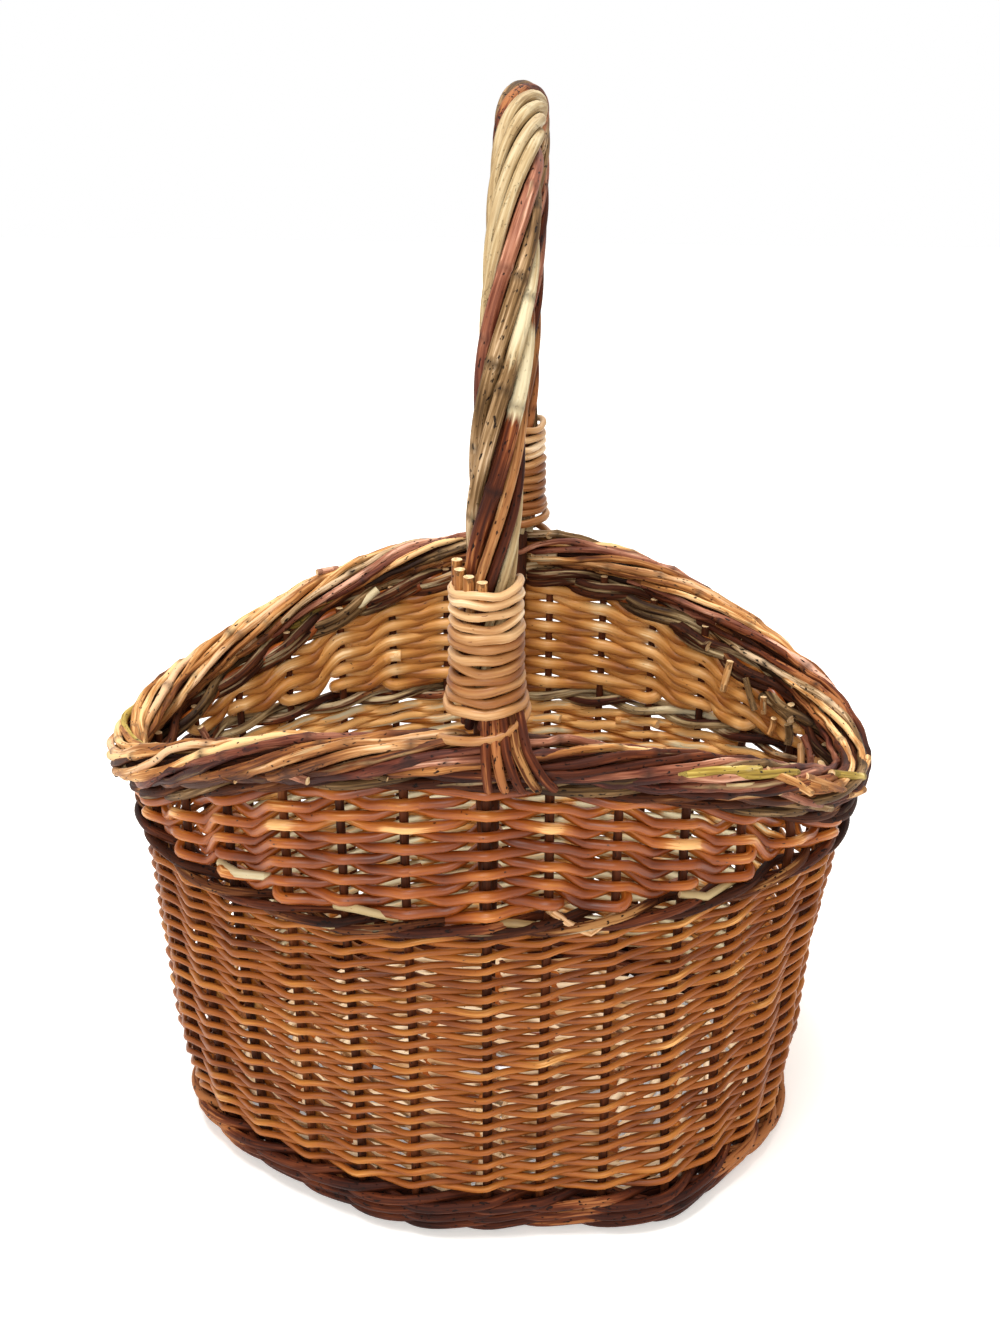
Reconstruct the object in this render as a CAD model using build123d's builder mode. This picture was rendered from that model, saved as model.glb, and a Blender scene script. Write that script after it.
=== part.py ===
from build123d import *
import math
import os

os.makedirs("parts", exist_ok=True)

# An oval willow shopping basket with a fixed, roped bow handle.
# X runs along the basket, -Y is its front and +Z is up. The origin is in the middle of the
# foot, on the surface that the basket stands on. All sizes are in millimetres.

# ---- driving sizes ---------------------------------------------------------------------

# Plan: an oval of four tangent arcs, measured on the centre line of the border.
rim_length = 350.0
rim_width = 256.0
end_radius = 100.0

# Side stakes: the uprights that everything is woven round.
stake_count = 30
stake_diameter = 5.4
front_stake_x = 4.0  # the front stake nearest the middle stands this far to its right
stake_bend = 6.0  # radius of the upturn at the base
stake_inset_top = 7.0  # from the border's centre line in to the upright part of a stake
stake_inset_waist = 8.2  # the same at the middle wale
stake_inset_foot = 16.3  # the same at the base, where the wall curves in
leg_inset = 39.0  # the stake's lower end lies this far in, inside the base

# Weavers, from the foot up. A row is one rod high, and two rods high in the paired weave.
foot_rod = 5.2
foot_rows = 5
foot_flare = 1.3  # how much each row of the foot stands in from the row above
paired_rod = 3.75
paired_rows = 20
wale_rod = 4.0
wale_rows = 3
packing_rod = 5.0
top_wale_rod = 4.0
rim_rise = 60.0  # the border climbs this much from the ends to the middle of the sides
row_bulge = 1.1  # how far a weaver swells out between its neighbours

# Light gaps: where two rows of the paired weave part between two stakes of the long sides.
light_gaps = 12  # along each long side
light_gap_share = 0.55  # of the way from one stake to the next
light_gap_height = 5.6

# Border: rods laid round a core like a rope.
border_core_diameter = 9.2
border_rod_diameter = 6.6
border_rods = 7
border_turns = 4  # full turns of each rod on its way round the basket

# Base: long sticks threaded through split short ones, with a woven plate round both.
base_height = 7.9  # middle of the sticks above the ground
base_thickness = 13.0
base_inset = 27.0
short_stick_diameter = 7.5
short_sticks = 7
short_stick_spacing = 34.0
long_stick_diameter = 4.5
long_sticks = 3
long_stick_spacing = 26.0
base_edge = 4.0  # rounding of the woven plate's edge

# Handle: a bow with rods wrapped round it, lashed above the border.
bow_diameter = 11.0
bow_height = 512.0  # centre of the bow at its top, above the ground
rope_rod_diameter = 6.0
rope_rods = 8
rope_lay = 150.0  # length of one full turn of a rope rod
lashing_rod = 4.2
lashing_pitch = 4.6
lashing_turns = 12
tail_diameter = 5.4
tails = 4
tail_spacing = 6.2
tail_lean = 25.0  # degrees that the rope's tails lean from the upright
rod_end_diameter = 5.0
rod_end_length = 14.0

# Clearances between pieces that touch on the basket.
fit = 0.15
seat = 0.2
twist_slack = 0.3  # room for the straight runs of a twisted rod to cut its turns short

# ---- worked-out sizes ------------------------------------------------------------------

half_length = rim_length / 2
half_width = rim_width / 2
end_centre = half_length - end_radius
side_centre = (end_centre**2 - (half_width - end_radius) ** 2) / (2 * (half_width - end_radius))
side_radius = half_width + side_centre
join_angle = math.degrees(math.atan2(side_centre, end_centre))

stake_radius = stake_diameter / 2
bow_radius = bow_diameter / 2

foot_top = foot_rows * foot_rod
paired_bottom = foot_top + seat
paired_top = paired_bottom + 2 * paired_rows * paired_rod
wale_bottom = paired_top + seat
wale_top = wale_bottom + wale_rows * wale_rod
packing_bottom = wale_top + seat
waist_height = (wale_bottom + wale_top) / 2

border_reach = border_core_diameter / 2 + twist_slack + border_rod_diameter / 2
border_radius = border_reach + border_rod_diameter / 2 + fit
rim_end_height = packing_bottom + packing_rod + seat + top_wale_rod + seat + border_radius
rim_arc_radius = (half_length**2 + rim_rise**2) / (2 * rim_rise)
top_wale_drop = border_radius + seat + top_wale_rod / 2
packing_drop = top_wale_drop + top_wale_rod / 2 + seat

# ---- the oval --------------------------------------------------------------------------


def oval_arcs():
    """The oval's arcs from the middle of the front, turning left when seen from above:
    centre x, centre y, radius, first angle and swept angle in degrees."""
    side_half = 90 - join_angle
    return [
        (0, side_centre, side_radius, -90, side_half),
        (end_centre, 0, end_radius, -join_angle, 2 * join_angle),
        (0, -side_centre, side_radius, join_angle, 2 * side_half),
        (-end_centre, 0, end_radius, 180 - join_angle, 2 * join_angle),
        (0, side_centre, side_radius, 180 + join_angle, side_half),
    ]


def arc_length(arc):
    """Length of an arc of the line on which the stakes stand."""
    return math.radians(arc[4]) * (arc[2] - stake_inset_top)


round_length = sum(arc_length(arc) for arc in oval_arcs())
stake_spacing = round_length / stake_count


def stake_line(number):
    """Distance round the stake line of stake `number`, from the middle of the front."""
    return front_stake_x + number * stake_spacing


def spot(distance):
    """The arc's centre x, y and radius, and the direction in degrees, at a distance round."""
    rest = distance % round_length
    arcs = oval_arcs()
    for arc in arcs:
        if rest <= arc_length(arc):
            break
        rest -= arc_length(arc)
    turn = math.degrees(rest / (arc[2] - stake_inset_top))
    return arc[0], arc[1], arc[2], arc[3] + turn


def oval_point(distance, offset, height):
    """A point at a distance round the oval, set out from the border's centre line by offset."""
    centre_x, centre_y, radius, angle = spot(distance)
    reach = radius + offset
    turn = math.radians(angle)
    return Vector(centre_x + reach * math.cos(turn), centre_y + reach * math.sin(turn), height)


def outward(distance):
    """Horizontal direction out of the oval at a distance round."""
    turn = math.radians(spot(distance)[3])
    return Vector(math.cos(turn), math.sin(turn), 0)


def rim_height(distance):
    """Height of the border's centre line: an arc seen from the front."""
    x = oval_point(distance, 0, 0).X
    return rim_end_height + rim_rise - rim_arc_radius + math.sqrt(rim_arc_radius**2 - x**2)


def rim_slant(distance):
    """How much more upright room a clearance square to the sloping border takes."""
    slope = (rim_height(distance + 1) - rim_height(distance - 1)) / 2
    return math.sqrt(1 + slope**2)


def radial_plane(centre_x, centre_y, angle):
    """Upright plane through an arc's centre: its x points outward and its y points up."""
    turn = math.radians(angle)
    out = Vector(math.cos(turn), math.sin(turn), 0)
    return Plane(origin=(centre_x, centre_y, 0), x_dir=out, z_dir=out.cross(Vector(0, 0, 1)))


def arcs_between(start, end):
    """The pieces of the oval's arcs that lie between two distances round it."""
    pieces = []
    position = -round_length
    for arc in oval_arcs() * 3:
        length = arc_length(arc)
        first = max(start, position)
        last = min(end, position + length)
        if last - first > 0.01:
            turn = arc[4] / length
            pieces.append((*arc[:3], arc[3] + (first - position) * turn, (last - first) * turn))
        position += length
    return pieces


def oval_half_width(x, offset):
    """Half the oval's width at x, on the line set out by offset."""
    join_x = (end_radius + offset) * math.cos(math.radians(join_angle)) + end_centre
    if abs(x) < join_x:
        return math.sqrt((side_radius + offset) ** 2 - x**2) - side_centre
    return math.sqrt((end_radius + offset) ** 2 - (abs(x) - end_centre) ** 2)


# ---- where the handle stands -----------------------------------------------------------

bow_x = front_stake_x + stake_radius + 2 * fit + bow_radius
leg_y = oval_half_width(bow_x, 0) - stake_inset_top
arch_height = bow_height - leg_y
border_top = rim_end_height + rim_rise + border_radius
rope_bottom = border_top + 2 * seat
rope_reach = (bow_diameter + rope_rod_diameter) / 2 + twist_slack
rope_radius = rope_reach + rope_rod_diameter / 2
lashing_bottom = rope_bottom + lashing_rod / 2 + seat
lashing_reach = rope_radius + fit + lashing_rod / 2
lashing_height = lashing_turns * lashing_pitch

# ---- shared shapes ---------------------------------------------------------------------


def woven_band(levels, start=0, end=round_length):
    """A stack of weavers as one band. Each level between two weavers gives its height and
    the offsets of the inner and outer face, and each weaver swells out between two levels."""
    with BuildPart() as band:
        for centre_x, centre_y, radius, angle, turn in arcs_between(start, end):
            inside = [(radius + inner, height) for height, inner, outer in levels]
            outside = [(radius + outer, height) for height, inner, outer in levels]
            with BuildSketch(radial_plane(centre_x, centre_y, angle)):
                with BuildLine():
                    Line(inside[0], outside[0])
                    for face, swell in ((outside, row_bulge), (inside, -row_bulge)):
                        for (x1, z1), (x2, z2) in zip(face, face[1:]):
                            crown = ((x1 + x2) / 2 + swell, (z1 + z2) / 2)
                            ThreePointArc((x1, z1), crown, (x2, z2))
                    Line(inside[-1], outside[-1])
                make_face()
            revolve(axis=Axis((centre_x, centre_y, 0), (0, 0, 1)), revolution_arc=turn)
    return band.part


def rod(points, diameter, bend):
    """A round rod along straight runs that are joined by arcs."""
    with BuildPart() as piece:
        with BuildLine() as path:
            FilletPolyline(*points, radius=bend)
        with BuildSketch(Plane(origin=path.line @ 0, z_dir=path.line % 0)):
            Circle(diameter / 2)
        sweep()
    return piece.part


def wall_offset(height):
    """Offset of the stakes' middle at a height above the upturn."""
    slope = (stake_inset_foot - stake_inset_waist) / (waist_height - base_height)
    if height > waist_height:
        return -stake_inset_waist + (height - waist_height) * top_slope
    return -stake_inset_foot + (height - base_height) * slope


top_slope = (stake_inset_waist - stake_inset_top) / (rim_end_height + rim_rise - waist_height)


def stake(number, diameter):
    """One stake: in from the base, turned up and on to the underside of the border."""
    distance = stake_line(number)
    top = rim_height(distance) - border_radius - seat
    profile = [
        (-leg_inset, base_height),
        (-stake_inset_foot, base_height),
        (-stake_inset_waist, waist_height),
        (wall_offset(top), top),
    ]
    points = [oval_point(distance, offset, height) for offset, height in profile]
    return rod(points, diameter, [stake_bend, stake_bend])


def bow_shape(diameter, bottom):
    """The bow: two upright legs and a half-round arch."""
    with BuildPart() as shape:
        with BuildLine(Plane(origin=(bow_x, 0, 0), x_dir=(0, 1, 0), z_dir=(1, 0, 0))) as path:
            Line((-leg_y, bottom), (-leg_y, arch_height))
            ThreePointArc((-leg_y, arch_height), (0, bow_height), (leg_y, arch_height))
            Line((leg_y, arch_height), (leg_y, bottom))
        with BuildSketch(Plane(origin=path.line @ 0, z_dir=path.line % 0)):
            Circle(diameter / 2)
        sweep()
    return shape.part


# ---- side stakes and the channels that they run in -------------------------------------

stakes = [stake(number, stake_diameter) for number in range(stake_count)]
channels = [stake(number, stake_diameter + 2 * fit) for number in range(stake_count)]
bow_channel = bow_shape(bow_diameter + 2 * fit, wale_top)

with BuildPart() as side_stakes:
    add(stakes)

# ---- base ------------------------------------------------------------------------------

stick_offset = -leg_inset - seat
short_stick_places = [
    (number - (short_sticks - 1) / 2) * short_stick_spacing for number in range(short_sticks)
]
long_stick_places = [
    (number - (long_sticks - 1) / 2) * long_stick_spacing for number in range(long_sticks)
]


def stick(middle, direction, length, diameter):
    """A straight stick of the base, centred on a point."""
    with BuildPart() as piece:
        with BuildSketch(Plane(origin=middle, z_dir=direction)):
            Circle(diameter / 2)
        extrude(amount=length / 2, both=True)
    return piece.part


def sticks_along_x(slack):
    half = end_centre + end_radius + stick_offset - long_stick_spacing / 2
    return [
        stick((0, y, base_height), (1, 0, 0), 2 * half, long_stick_diameter + 2 * slack)
        for y in long_stick_places
    ]


def sticks_along_y(slack):
    return [
        stick(
            (x, 0, base_height),
            (0, 1, 0),
            2 * (oval_half_width(x, stick_offset) - short_stick_diameter / 2),
            short_stick_diameter + 2 * slack,
        )
        for x in short_stick_places
    ]


long_stick_holes = sticks_along_x(fit)
short_stick_holes = sticks_along_y(fit)

with BuildPart() as base_long_sticks:
    add(sticks_along_x(0))

with BuildPart() as base_short_sticks:
    add(sticks_along_y(0))
    add(long_stick_holes, mode=Mode.SUBTRACT)

base_bottom = base_height - base_thickness / 2
with BuildPart() as base_weave:
    with BuildSketch(Plane.XY.offset(base_bottom)):
        with BuildLine():
            for centre_x, centre_y, radius, angle, turn in arcs_between(0, round_length):
                CenterArc((centre_x, centre_y), radius - base_inset, angle, turn)
        make_face()
    extrude(amount=base_thickness)
    fillet(base_weave.edges().filter_by(Plane.XY), radius=base_edge)
    add(long_stick_holes, mode=Mode.SUBTRACT)
    add(short_stick_holes, mode=Mode.SUBTRACT)
    add(channels, mode=Mode.SUBTRACT)

# ---- wales and weave -------------------------------------------------------------------


def wall_levels(count, bottom, step, thickness):
    """Levels of one band of the wall, which follows the lean of the stakes."""
    reach = stake_radius + thickness - row_bulge
    heights = [bottom + number * step for number in range(count + 1)]
    return [(height, wall_offset(height) - reach, wall_offset(height) + reach) for height in heights]


# The foot wale wraps the upturn from outside, and its inner face meets the base.
foot_levels = []
for number in range(foot_rows + 1):
    outer = wall_offset(foot_top) + stake_radius + foot_rod - row_bulge
    outer -= (foot_rows - number) * foot_flare
    foot_levels.append((number * foot_rod, -base_inset + seat + row_bulge, outer))
foot_band = woven_band(foot_levels)

with BuildPart() as foot_wale:
    add(foot_band)
    add(channels, mode=Mode.SUBTRACT)

paired_band = woven_band(wall_levels(paired_rows, paired_bottom, 2 * paired_rod, paired_rod))


def light_gap_places():
    """Where the light gaps open: at every other joint between two rows, midway between stakes."""
    places = []
    for middle_stake in (0, stake_count // 2):
        for number in range(light_gaps):
            distance = stake_line(middle_stake + number - light_gaps // 2 + 0.5)
            for row in range(2, paired_rows, 2):
                height = paired_bottom + 2 * row * paired_rod
                origin = oval_point(distance, wall_offset(height), height)
                places.append(Plane(origin=origin, x_dir=outward(distance), z_dir=(0, 0, 1)))
    return places


light_gap_depth = 4 * (stake_radius + paired_rod)

with BuildPart() as lower_weave:
    add(paired_band)
    add(channels, mode=Mode.SUBTRACT)
    with Locations(*light_gap_places()):
        Box(light_gap_depth, light_gap_share * stake_spacing, light_gap_height, mode=Mode.SUBTRACT)

wale_band = woven_band(wall_levels(wale_rows, wale_bottom, wale_rod, wale_rod))

with BuildPart() as middle_wale:
    add(wale_band)
    add(channels, mode=Mode.SUBTRACT)

turn_back = stake_radius + packing_rod / 2  # a row's end reaches this far past its last stake


def room_under_rim(distance):
    """Height up to which the packing may rise."""
    return rim_height(distance) - packing_drop * rim_slant(distance)


def packing_rows(first_stake, last_stake):
    """Short rows that raise one long side. Each goes as far as there is room under the
    border, turns back round the last stake it reaches, and so is shorter than the one below."""
    layers = []
    row = 0
    while True:
        low = packing_bottom + row * packing_rod
        top = low + packing_rod
        reached = [
            number
            for number in range(first_stake, last_stake + 1)
            if room_under_rim(stake_line(number) - turn_back) >= top
            and room_under_rim(stake_line(number) + turn_back) >= top
        ]
        if len(reached) < 2:
            return layers
        start = stake_line(reached[0]) - turn_back
        end = stake_line(reached[-1]) + turn_back
        if row == 0:
            start = stake_line(first_stake) + seat / 2
            end = stake_line(last_stake) - seat / 2
        layers.append(woven_band(wall_levels(1, low, packing_rod, packing_rod), start, end))
        row += 1


quarter = round(stake_count / 4)
front_layers = packing_rows(-quarter, quarter)
back_layers = packing_rows(quarter, stake_count - quarter)

with BuildPart() as front_packing:
    add(front_layers)
    add(channels, mode=Mode.SUBTRACT)
    add(bow_channel, mode=Mode.SUBTRACT)

with BuildPart() as back_packing:
    add(back_layers)
    add(channels, mode=Mode.SUBTRACT)
    add(bow_channel, mode=Mode.SUBTRACT)

# ---- top wale and border ---------------------------------------------------------------

stations = 2 * stake_count


rod_bend = 12.0  # arcs that join the straight runs of the rods round the rim


def butted(points):
    """The points of a rod that goes all the way round, with its two ends just clear."""
    points[-1] = points[-1] + (points[-2] - points[-1]).normalized() * seat
    return points


def near_bow(distance):
    """True where a rod has to pass round a leg of the bow."""
    return abs(oval_point(distance, 0, 0).X - bow_x) < bow_radius + 2 * stake_spacing / 3


def top_wale_points(side):
    """The run of a top wale rod, outside (1) or inside (-1) the stakes."""
    points = []
    for step in range(stations + 1):
        distance = stake_line(step / 2)
        height = rim_height(distance) - top_wale_drop * rim_slant(distance)
        reach = bow_radius if near_bow(distance) else stake_radius
        offset = wall_offset(height) + side * (reach + fit + seat + top_wale_rod / 2)
        points.append(oval_point(distance, offset, height))
    return butted(points)


def rim_points():
    """The border's centre line."""
    distances = [stake_line(step / 2) for step in range(stations + 1)]
    return butted([oval_point(distance, 0, rim_height(distance)) for distance in distances])


outer_rod = rod(top_wale_points(1), top_wale_rod, rod_bend)
inner_rod = rod(top_wale_points(-1), top_wale_rod, rod_bend)

with BuildPart() as top_wale_outer_rod:
    add(outer_rod)

with BuildPart() as top_wale_inner_rod:
    add(inner_rod)

core_rod = rod(rim_points(), border_core_diameter, rod_bend)

with BuildPart() as border_core:
    add(core_rod)
    add(bow_channel, mode=Mode.SUBTRACT)


def border_points(number):
    """The run of one border rod, which winds slowly round the core and butts on itself."""
    points = []
    for step in range(stations + 1):
        distance = stake_line(step / 2)
        out = outward(distance)
        ahead = oval_point(distance + 1, 0, rim_height(distance + 1))
        behind = oval_point(distance - 1, 0, rim_height(distance - 1))
        above = out.cross(ahead - behind).normalized()
        turn = 2 * math.pi * (number / border_rods + border_turns * step / stations)
        middle = oval_point(distance, 0, rim_height(distance))
        points.append(middle + (out * math.cos(turn) + above * math.sin(turn)) * border_reach)
    return butted(points)


border_rod_nodes = []
for number in range(border_rods):
    laid_rod = rod(border_points(number), border_rod_diameter, rod_bend)
    with BuildPart() as border_rod:
        add(laid_rod)
        add(bow_channel, mode=Mode.SUBTRACT)
    border_rod_nodes.append(border_rod.part)

# ---- handle ----------------------------------------------------------------------------

bow = bow_shape(bow_diameter, wale_top + seat)

with BuildPart() as handle_bow:
    add(bow)

leg_run = arch_height - rope_bottom
arch_run = math.pi * leg_y
rope_length = 2 * leg_run + arch_run
rope_steps = round(rope_length / 10)


def bow_point(run, turn):
    """A point beside the bow, a run along it from the front border and turned about it."""
    if run < leg_run:
        middle = Vector(bow_x, -leg_y, rope_bottom + run)
        out = Vector(0, -1, 0)
    elif run > leg_run + arch_run:
        middle = Vector(bow_x, leg_y, rope_bottom + rope_length - run)
        out = Vector(0, 1, 0)
    else:
        swing = (run - leg_run) / leg_y
        out = Vector(0, -math.cos(swing), math.sin(swing))
        middle = Vector(bow_x, 0, arch_height) + out * leg_y
    return middle + (out * math.cos(turn) + Vector(1, 0, 0) * math.sin(turn)) * rope_reach


rope_bend = 8.0  # arcs that join the straight runs of the rope's rods
rope_rod_nodes = []
for number in range(rope_rods):
    rope_points = []
    for step in range(rope_steps + 1):
        run = rope_length * step / rope_steps
        turn = 2 * math.pi * (number / rope_rods + run / rope_lay)
        rope_points.append(bow_point(run, turn))
    with BuildPart() as rope_rod:
        add(rod(rope_points, rope_rod_diameter, rope_bend))
    rope_rod_nodes.append(rope_rod.part)


def lashing(side):
    """One rod coiled round a leg of the handle, just above the border."""
    foot = (bow_x, side * leg_y, lashing_bottom)
    with BuildPart() as coil:
        with BuildLine() as path:
            Helix(pitch=lashing_pitch, height=lashing_height, radius=lashing_reach, center=foot)
        with BuildSketch(Plane(origin=path.line @ 0, z_dir=path.line % 0)):
            Circle(lashing_rod / 2)
        sweep(is_frenet=True)
    return coil.part


with BuildPart() as front_lashing:
    add(lashing(-1))

with BuildPart() as back_lashing:
    add(lashing(1))


def rope_tails(side):
    """The rope's ends, fanned out over the outside of the border."""
    reach = border_radius + 4 * seat + tail_diameter / 2
    lean = math.radians(tail_lean)
    upward = Vector(side * math.sin(lean), 0, math.cos(lean))
    across = Vector(0, side, 0)
    pieces = []
    for number in range(tails):
        x = bow_x - side * (number - (tails - 1) / 2) * tail_spacing
        y = side * oval_half_width(x, 0)
        height = rim_height(stake_line(0) + x - front_stake_x)
        seat_plane = Plane(origin=(x, y, height), x_dir=across, z_dir=across.cross(upward))
        with BuildPart() as piece:
            with BuildLine(seat_plane) as path:
                CenterArc((0, 0), reach, -60, 105)
            with BuildSketch(Plane(origin=path.line @ 0, z_dir=path.line % 0)):
                Circle(tail_diameter / 2)
            sweep()
        pieces.append(piece.part)
    return pieces


with BuildPart() as front_rope_tails:
    add(rope_tails(-1))

with BuildPart() as back_rope_tails:
    add(rope_tails(1))

rod_end_bottom = lashing_bottom + lashing_height + lashing_rod / 2 + seat


def rod_ends(side):
    """Cut ends of rods that stand out above a lashing."""
    reach = rope_radius + fit + rod_end_diameter / 2
    pieces = []
    for angle in (170, 205, 240):
        turn = math.radians(angle)
        x = bow_x + reach * math.cos(turn)
        y = side * (leg_y - reach * math.sin(turn))
        with BuildPart() as piece:
            with BuildSketch(Plane.XY.offset(rod_end_bottom)):
                with Locations((x, y)):
                    Circle(rod_end_diameter / 2)
            extrude(amount=rod_end_length)
        pieces.append(piece.part)
    return pieces


with BuildPart() as front_rod_ends:
    add(rod_ends(-1))

with BuildPart() as back_rod_ends:
    add(rod_ends(1))

# ---- every piece as its own node -------------------------------------------------------

pieces = {
    "base_long_sticks": base_long_sticks.part,
    "base_short_sticks": base_short_sticks.part,
    "base_weave": base_weave.part,
    "side_stakes": side_stakes.part,
    "foot_wale": foot_wale.part,
    "lower_weave": lower_weave.part,
    "middle_wale": middle_wale.part,
    "front_packing": front_packing.part,
    "back_packing": back_packing.part,
    "top_wale_outer_rod": top_wale_outer_rod.part,
    "top_wale_inner_rod": top_wale_inner_rod.part,
    "border_core": border_core.part,
    "handle_bow": handle_bow.part,
    "front_lashing": front_lashing.part,
    "back_lashing": back_lashing.part,
    "front_rope_tails": front_rope_tails.part,
    "back_rope_tails": back_rope_tails.part,
    "front_rod_ends": front_rod_ends.part,
    "back_rod_ends": back_rod_ends.part,
}
for number, part in enumerate(border_rod_nodes, start=1):
    pieces[f"border_rod_{number}"] = part
for number, part in enumerate(rope_rod_nodes, start=1):
    pieces[f"handle_rope_rod_{number}"] = part

for name, part in pieces.items():
    part.label = name
    export_step(part, f"parts/{name}.step")
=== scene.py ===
import math
import random

import bpy
import numpy as np
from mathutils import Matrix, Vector, noise


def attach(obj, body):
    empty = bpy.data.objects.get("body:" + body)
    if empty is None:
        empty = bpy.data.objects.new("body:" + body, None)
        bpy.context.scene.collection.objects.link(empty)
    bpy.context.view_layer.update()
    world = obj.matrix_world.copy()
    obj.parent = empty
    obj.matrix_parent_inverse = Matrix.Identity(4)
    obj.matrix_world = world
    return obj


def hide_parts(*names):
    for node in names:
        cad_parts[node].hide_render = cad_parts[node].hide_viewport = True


# An oval willow basket with a fixed, roped bow handle. Metres, +Z up, -Y is the front.
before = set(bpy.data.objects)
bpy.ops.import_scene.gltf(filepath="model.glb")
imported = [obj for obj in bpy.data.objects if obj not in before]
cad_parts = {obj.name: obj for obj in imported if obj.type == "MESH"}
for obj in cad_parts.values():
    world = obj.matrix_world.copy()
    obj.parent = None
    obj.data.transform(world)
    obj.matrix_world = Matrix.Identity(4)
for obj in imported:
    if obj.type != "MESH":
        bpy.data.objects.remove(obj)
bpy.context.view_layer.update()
print("frame loaded:", len(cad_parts), "nodes")

# the shape that the wall and the rim follow: the same sizes as the solids have
wall = {
    "halfLength": 0.175,  # these three are taken on the border's centre line
    "halfWidth": 0.128,
    "endRadius": 0.100,
    "stakes": 30,
    "frontStakeX": 0.004,  # the front stake nearest the middle stands this far to its right
    "stakeRadius": 0.0027,
    "footInset": 0.0163,  # from the border's centre line in to the stakes, at the base
    "waistInset": 0.0082,  # at the middle wale
    "topInset": 0.0070,  # and under the border
    "turnHeight": 0.0079,  # the stakes leave the base here
    "waistHeight": 0.1824,  # middle of the middle wale
    "rimEnd": 0.20965,  # the border's centre line at the two ends
    "rimRise": 0.060,  # and how much higher it is in the middle of the sides
}
endCentre = wall["halfLength"] - wall["endRadius"]
sideStep = wall["halfWidth"] - wall["endRadius"]
sideCentre = (endCentre**2 - sideStep**2) / (2 * sideStep)
sideRadius = wall["halfWidth"] + sideCentre
joinAngle = math.atan2(sideCentre, endCentre)
rimArcRadius = (wall["halfLength"] ** 2 + wall["rimRise"] ** 2) / (2 * wall["rimRise"])
quarterTurn = math.pi / 2
probe = 0.001  # a short step along the rim, by which its slope is found


def ovalArcs():
    # centre x, centre y, radius, first angle, swept angle; counter-clockwise from the front
    half = quarterTurn - joinAngle
    return [
        (0, sideCentre, sideRadius, -quarterTurn, half),
        (endCentre, 0, wall["endRadius"], -joinAngle, 2 * joinAngle),
        (0, -sideCentre, sideRadius, joinAngle, 2 * half),
        (-endCentre, 0, wall["endRadius"], math.pi - joinAngle, 2 * joinAngle),
        (0, sideCentre, sideRadius, math.pi + joinAngle, half),
    ]


def arcLength(arc):
    # distances round the basket are measured on the line of the stakes' tops
    return arc[4] * (arc[2] - wall["topInset"])


roundLength = sum(arcLength(arc) for arc in ovalArcs())
spacing = roundLength / wall["stakes"]


def between(table, value):
    return float(np.interp(value, [a for a, _ in table], [b for _, b in table]))


# A hand-made basket is not quite even. Directions are in degrees from the right end,
# counter-clockwise, so -90 is the front. Here are the heights at which its wall stands out,
# and how far,
swells = (
    {"middle": 180, "width": 48, "out": [
        (0, -0.0018), (0.022, -0.001), (0.045, 0.0055), (0.17, 0.0066),
        (0.195, 0.0082), (0.212, 0.0066), (0.3, 0.003),
    ]},
    {"middle": 0, "width": 48, "out": [
        (0, -0.0035), (0.03, -0.003), (0.05, 0), (0.11, 0.0005), (0.15, 0.0048),
        (0.185, 0.0070), (0.197, 0.0098), (0.212, 0.004), (0.3, 0.004),
    ]},
    {"middle": -64, "width": 10, "out": [(0, 0.0145), (0.03, 0.008), (0.09, 0)]},
    {"middle": -97, "width": 12, "out": [(0, 0.006), (0.03, 0.003), (0.06, 0)]},
)
# how far its middle wale runs off the level,
waleShifts = (
    {"middle": -124, "width": 13, "up": -0.007},
    {"middle": -106, "width": 8, "up": -0.004},
    {"middle": -75, "width": 12, "up": 0.0015},
    {"middle": -42, "width": 22, "up": 0.004},
)
# how far the band of the foot sinks at the two ends,
footShifts = (
    {"middle": 180, "width": 56, "up": -0.0120},
    {"middle": 0, "width": 58, "up": -0.0130},
)
# how far the rim runs off its arc,
rimShifts = (
    {"middle": 118, "width": 26, "up": -0.0045},
    {"middle": 18, "width": 24, "up": 0.0045},
)
# and how far each stake stands off its even place. Stake 0 is in the middle of the front and
# stake 15 in the middle of the back
random.seed(5)
stakeShifts = [random.uniform(-0.0013, 0.0013) for _ in range(wall["stakes"])]
stakeShifts[0:3] = [0.0033, -0.0004, -0.0004]
stakeShifts[14:17] = [0.0, -0.0060, -0.0015]
stakeShifts[29] = -0.0019


def bump(turn, middle, width):
    # 1 in the middle of a place round the basket, fading to nothing beside it
    away = (turn - math.radians(middle) + math.pi) % (2 * math.pi) - math.pi
    return math.exp(-((away / math.radians(width)) ** 2))


def swellAt(turn, height):
    return sum(between(s["out"], height) * bump(turn, s["middle"], s["width"]) for s in swells)


def shiftAt(shifts, distance):
    turn = spot(distance)[3]
    return sum(s["up"] * bump(turn, s["middle"], s["width"]) for s in shifts)


def stakeLine(number):
    # how far round the basket a stake stands; a number and a half is midway to the next
    low = math.floor(number)
    shifts = [stakeShifts[(low + i) % wall["stakes"]] for i in (0, 1)]
    return wall["frontStakeX"] + number * spacing + mix(*shifts, number - low)


def spot(distance):
    # centre, radius and direction of the oval's arc at a distance round it
    rest = distance % roundLength
    for arc in ovalArcs():
        if rest <= arcLength(arc):
            break
        rest -= arcLength(arc)
    return arc[0], arc[1], arc[2], arc[3] + rest / (arc[2] - wall["topInset"])


def ovalPoint(distance, offset, height):
    # offset: how far outside the border's centre line
    x, y, radius, turn = spot(distance)
    reach = radius + offset + swellAt(turn, height)
    return Vector((x + reach * math.cos(turn), y + reach * math.sin(turn), height))


def outward(distance):
    turn = spot(distance)[3]
    return Vector((math.cos(turn), math.sin(turn), 0))


def ovalHalfWidth(x, offset):
    return math.sqrt((sideRadius + offset) ** 2 - x**2) - sideCentre


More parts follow.
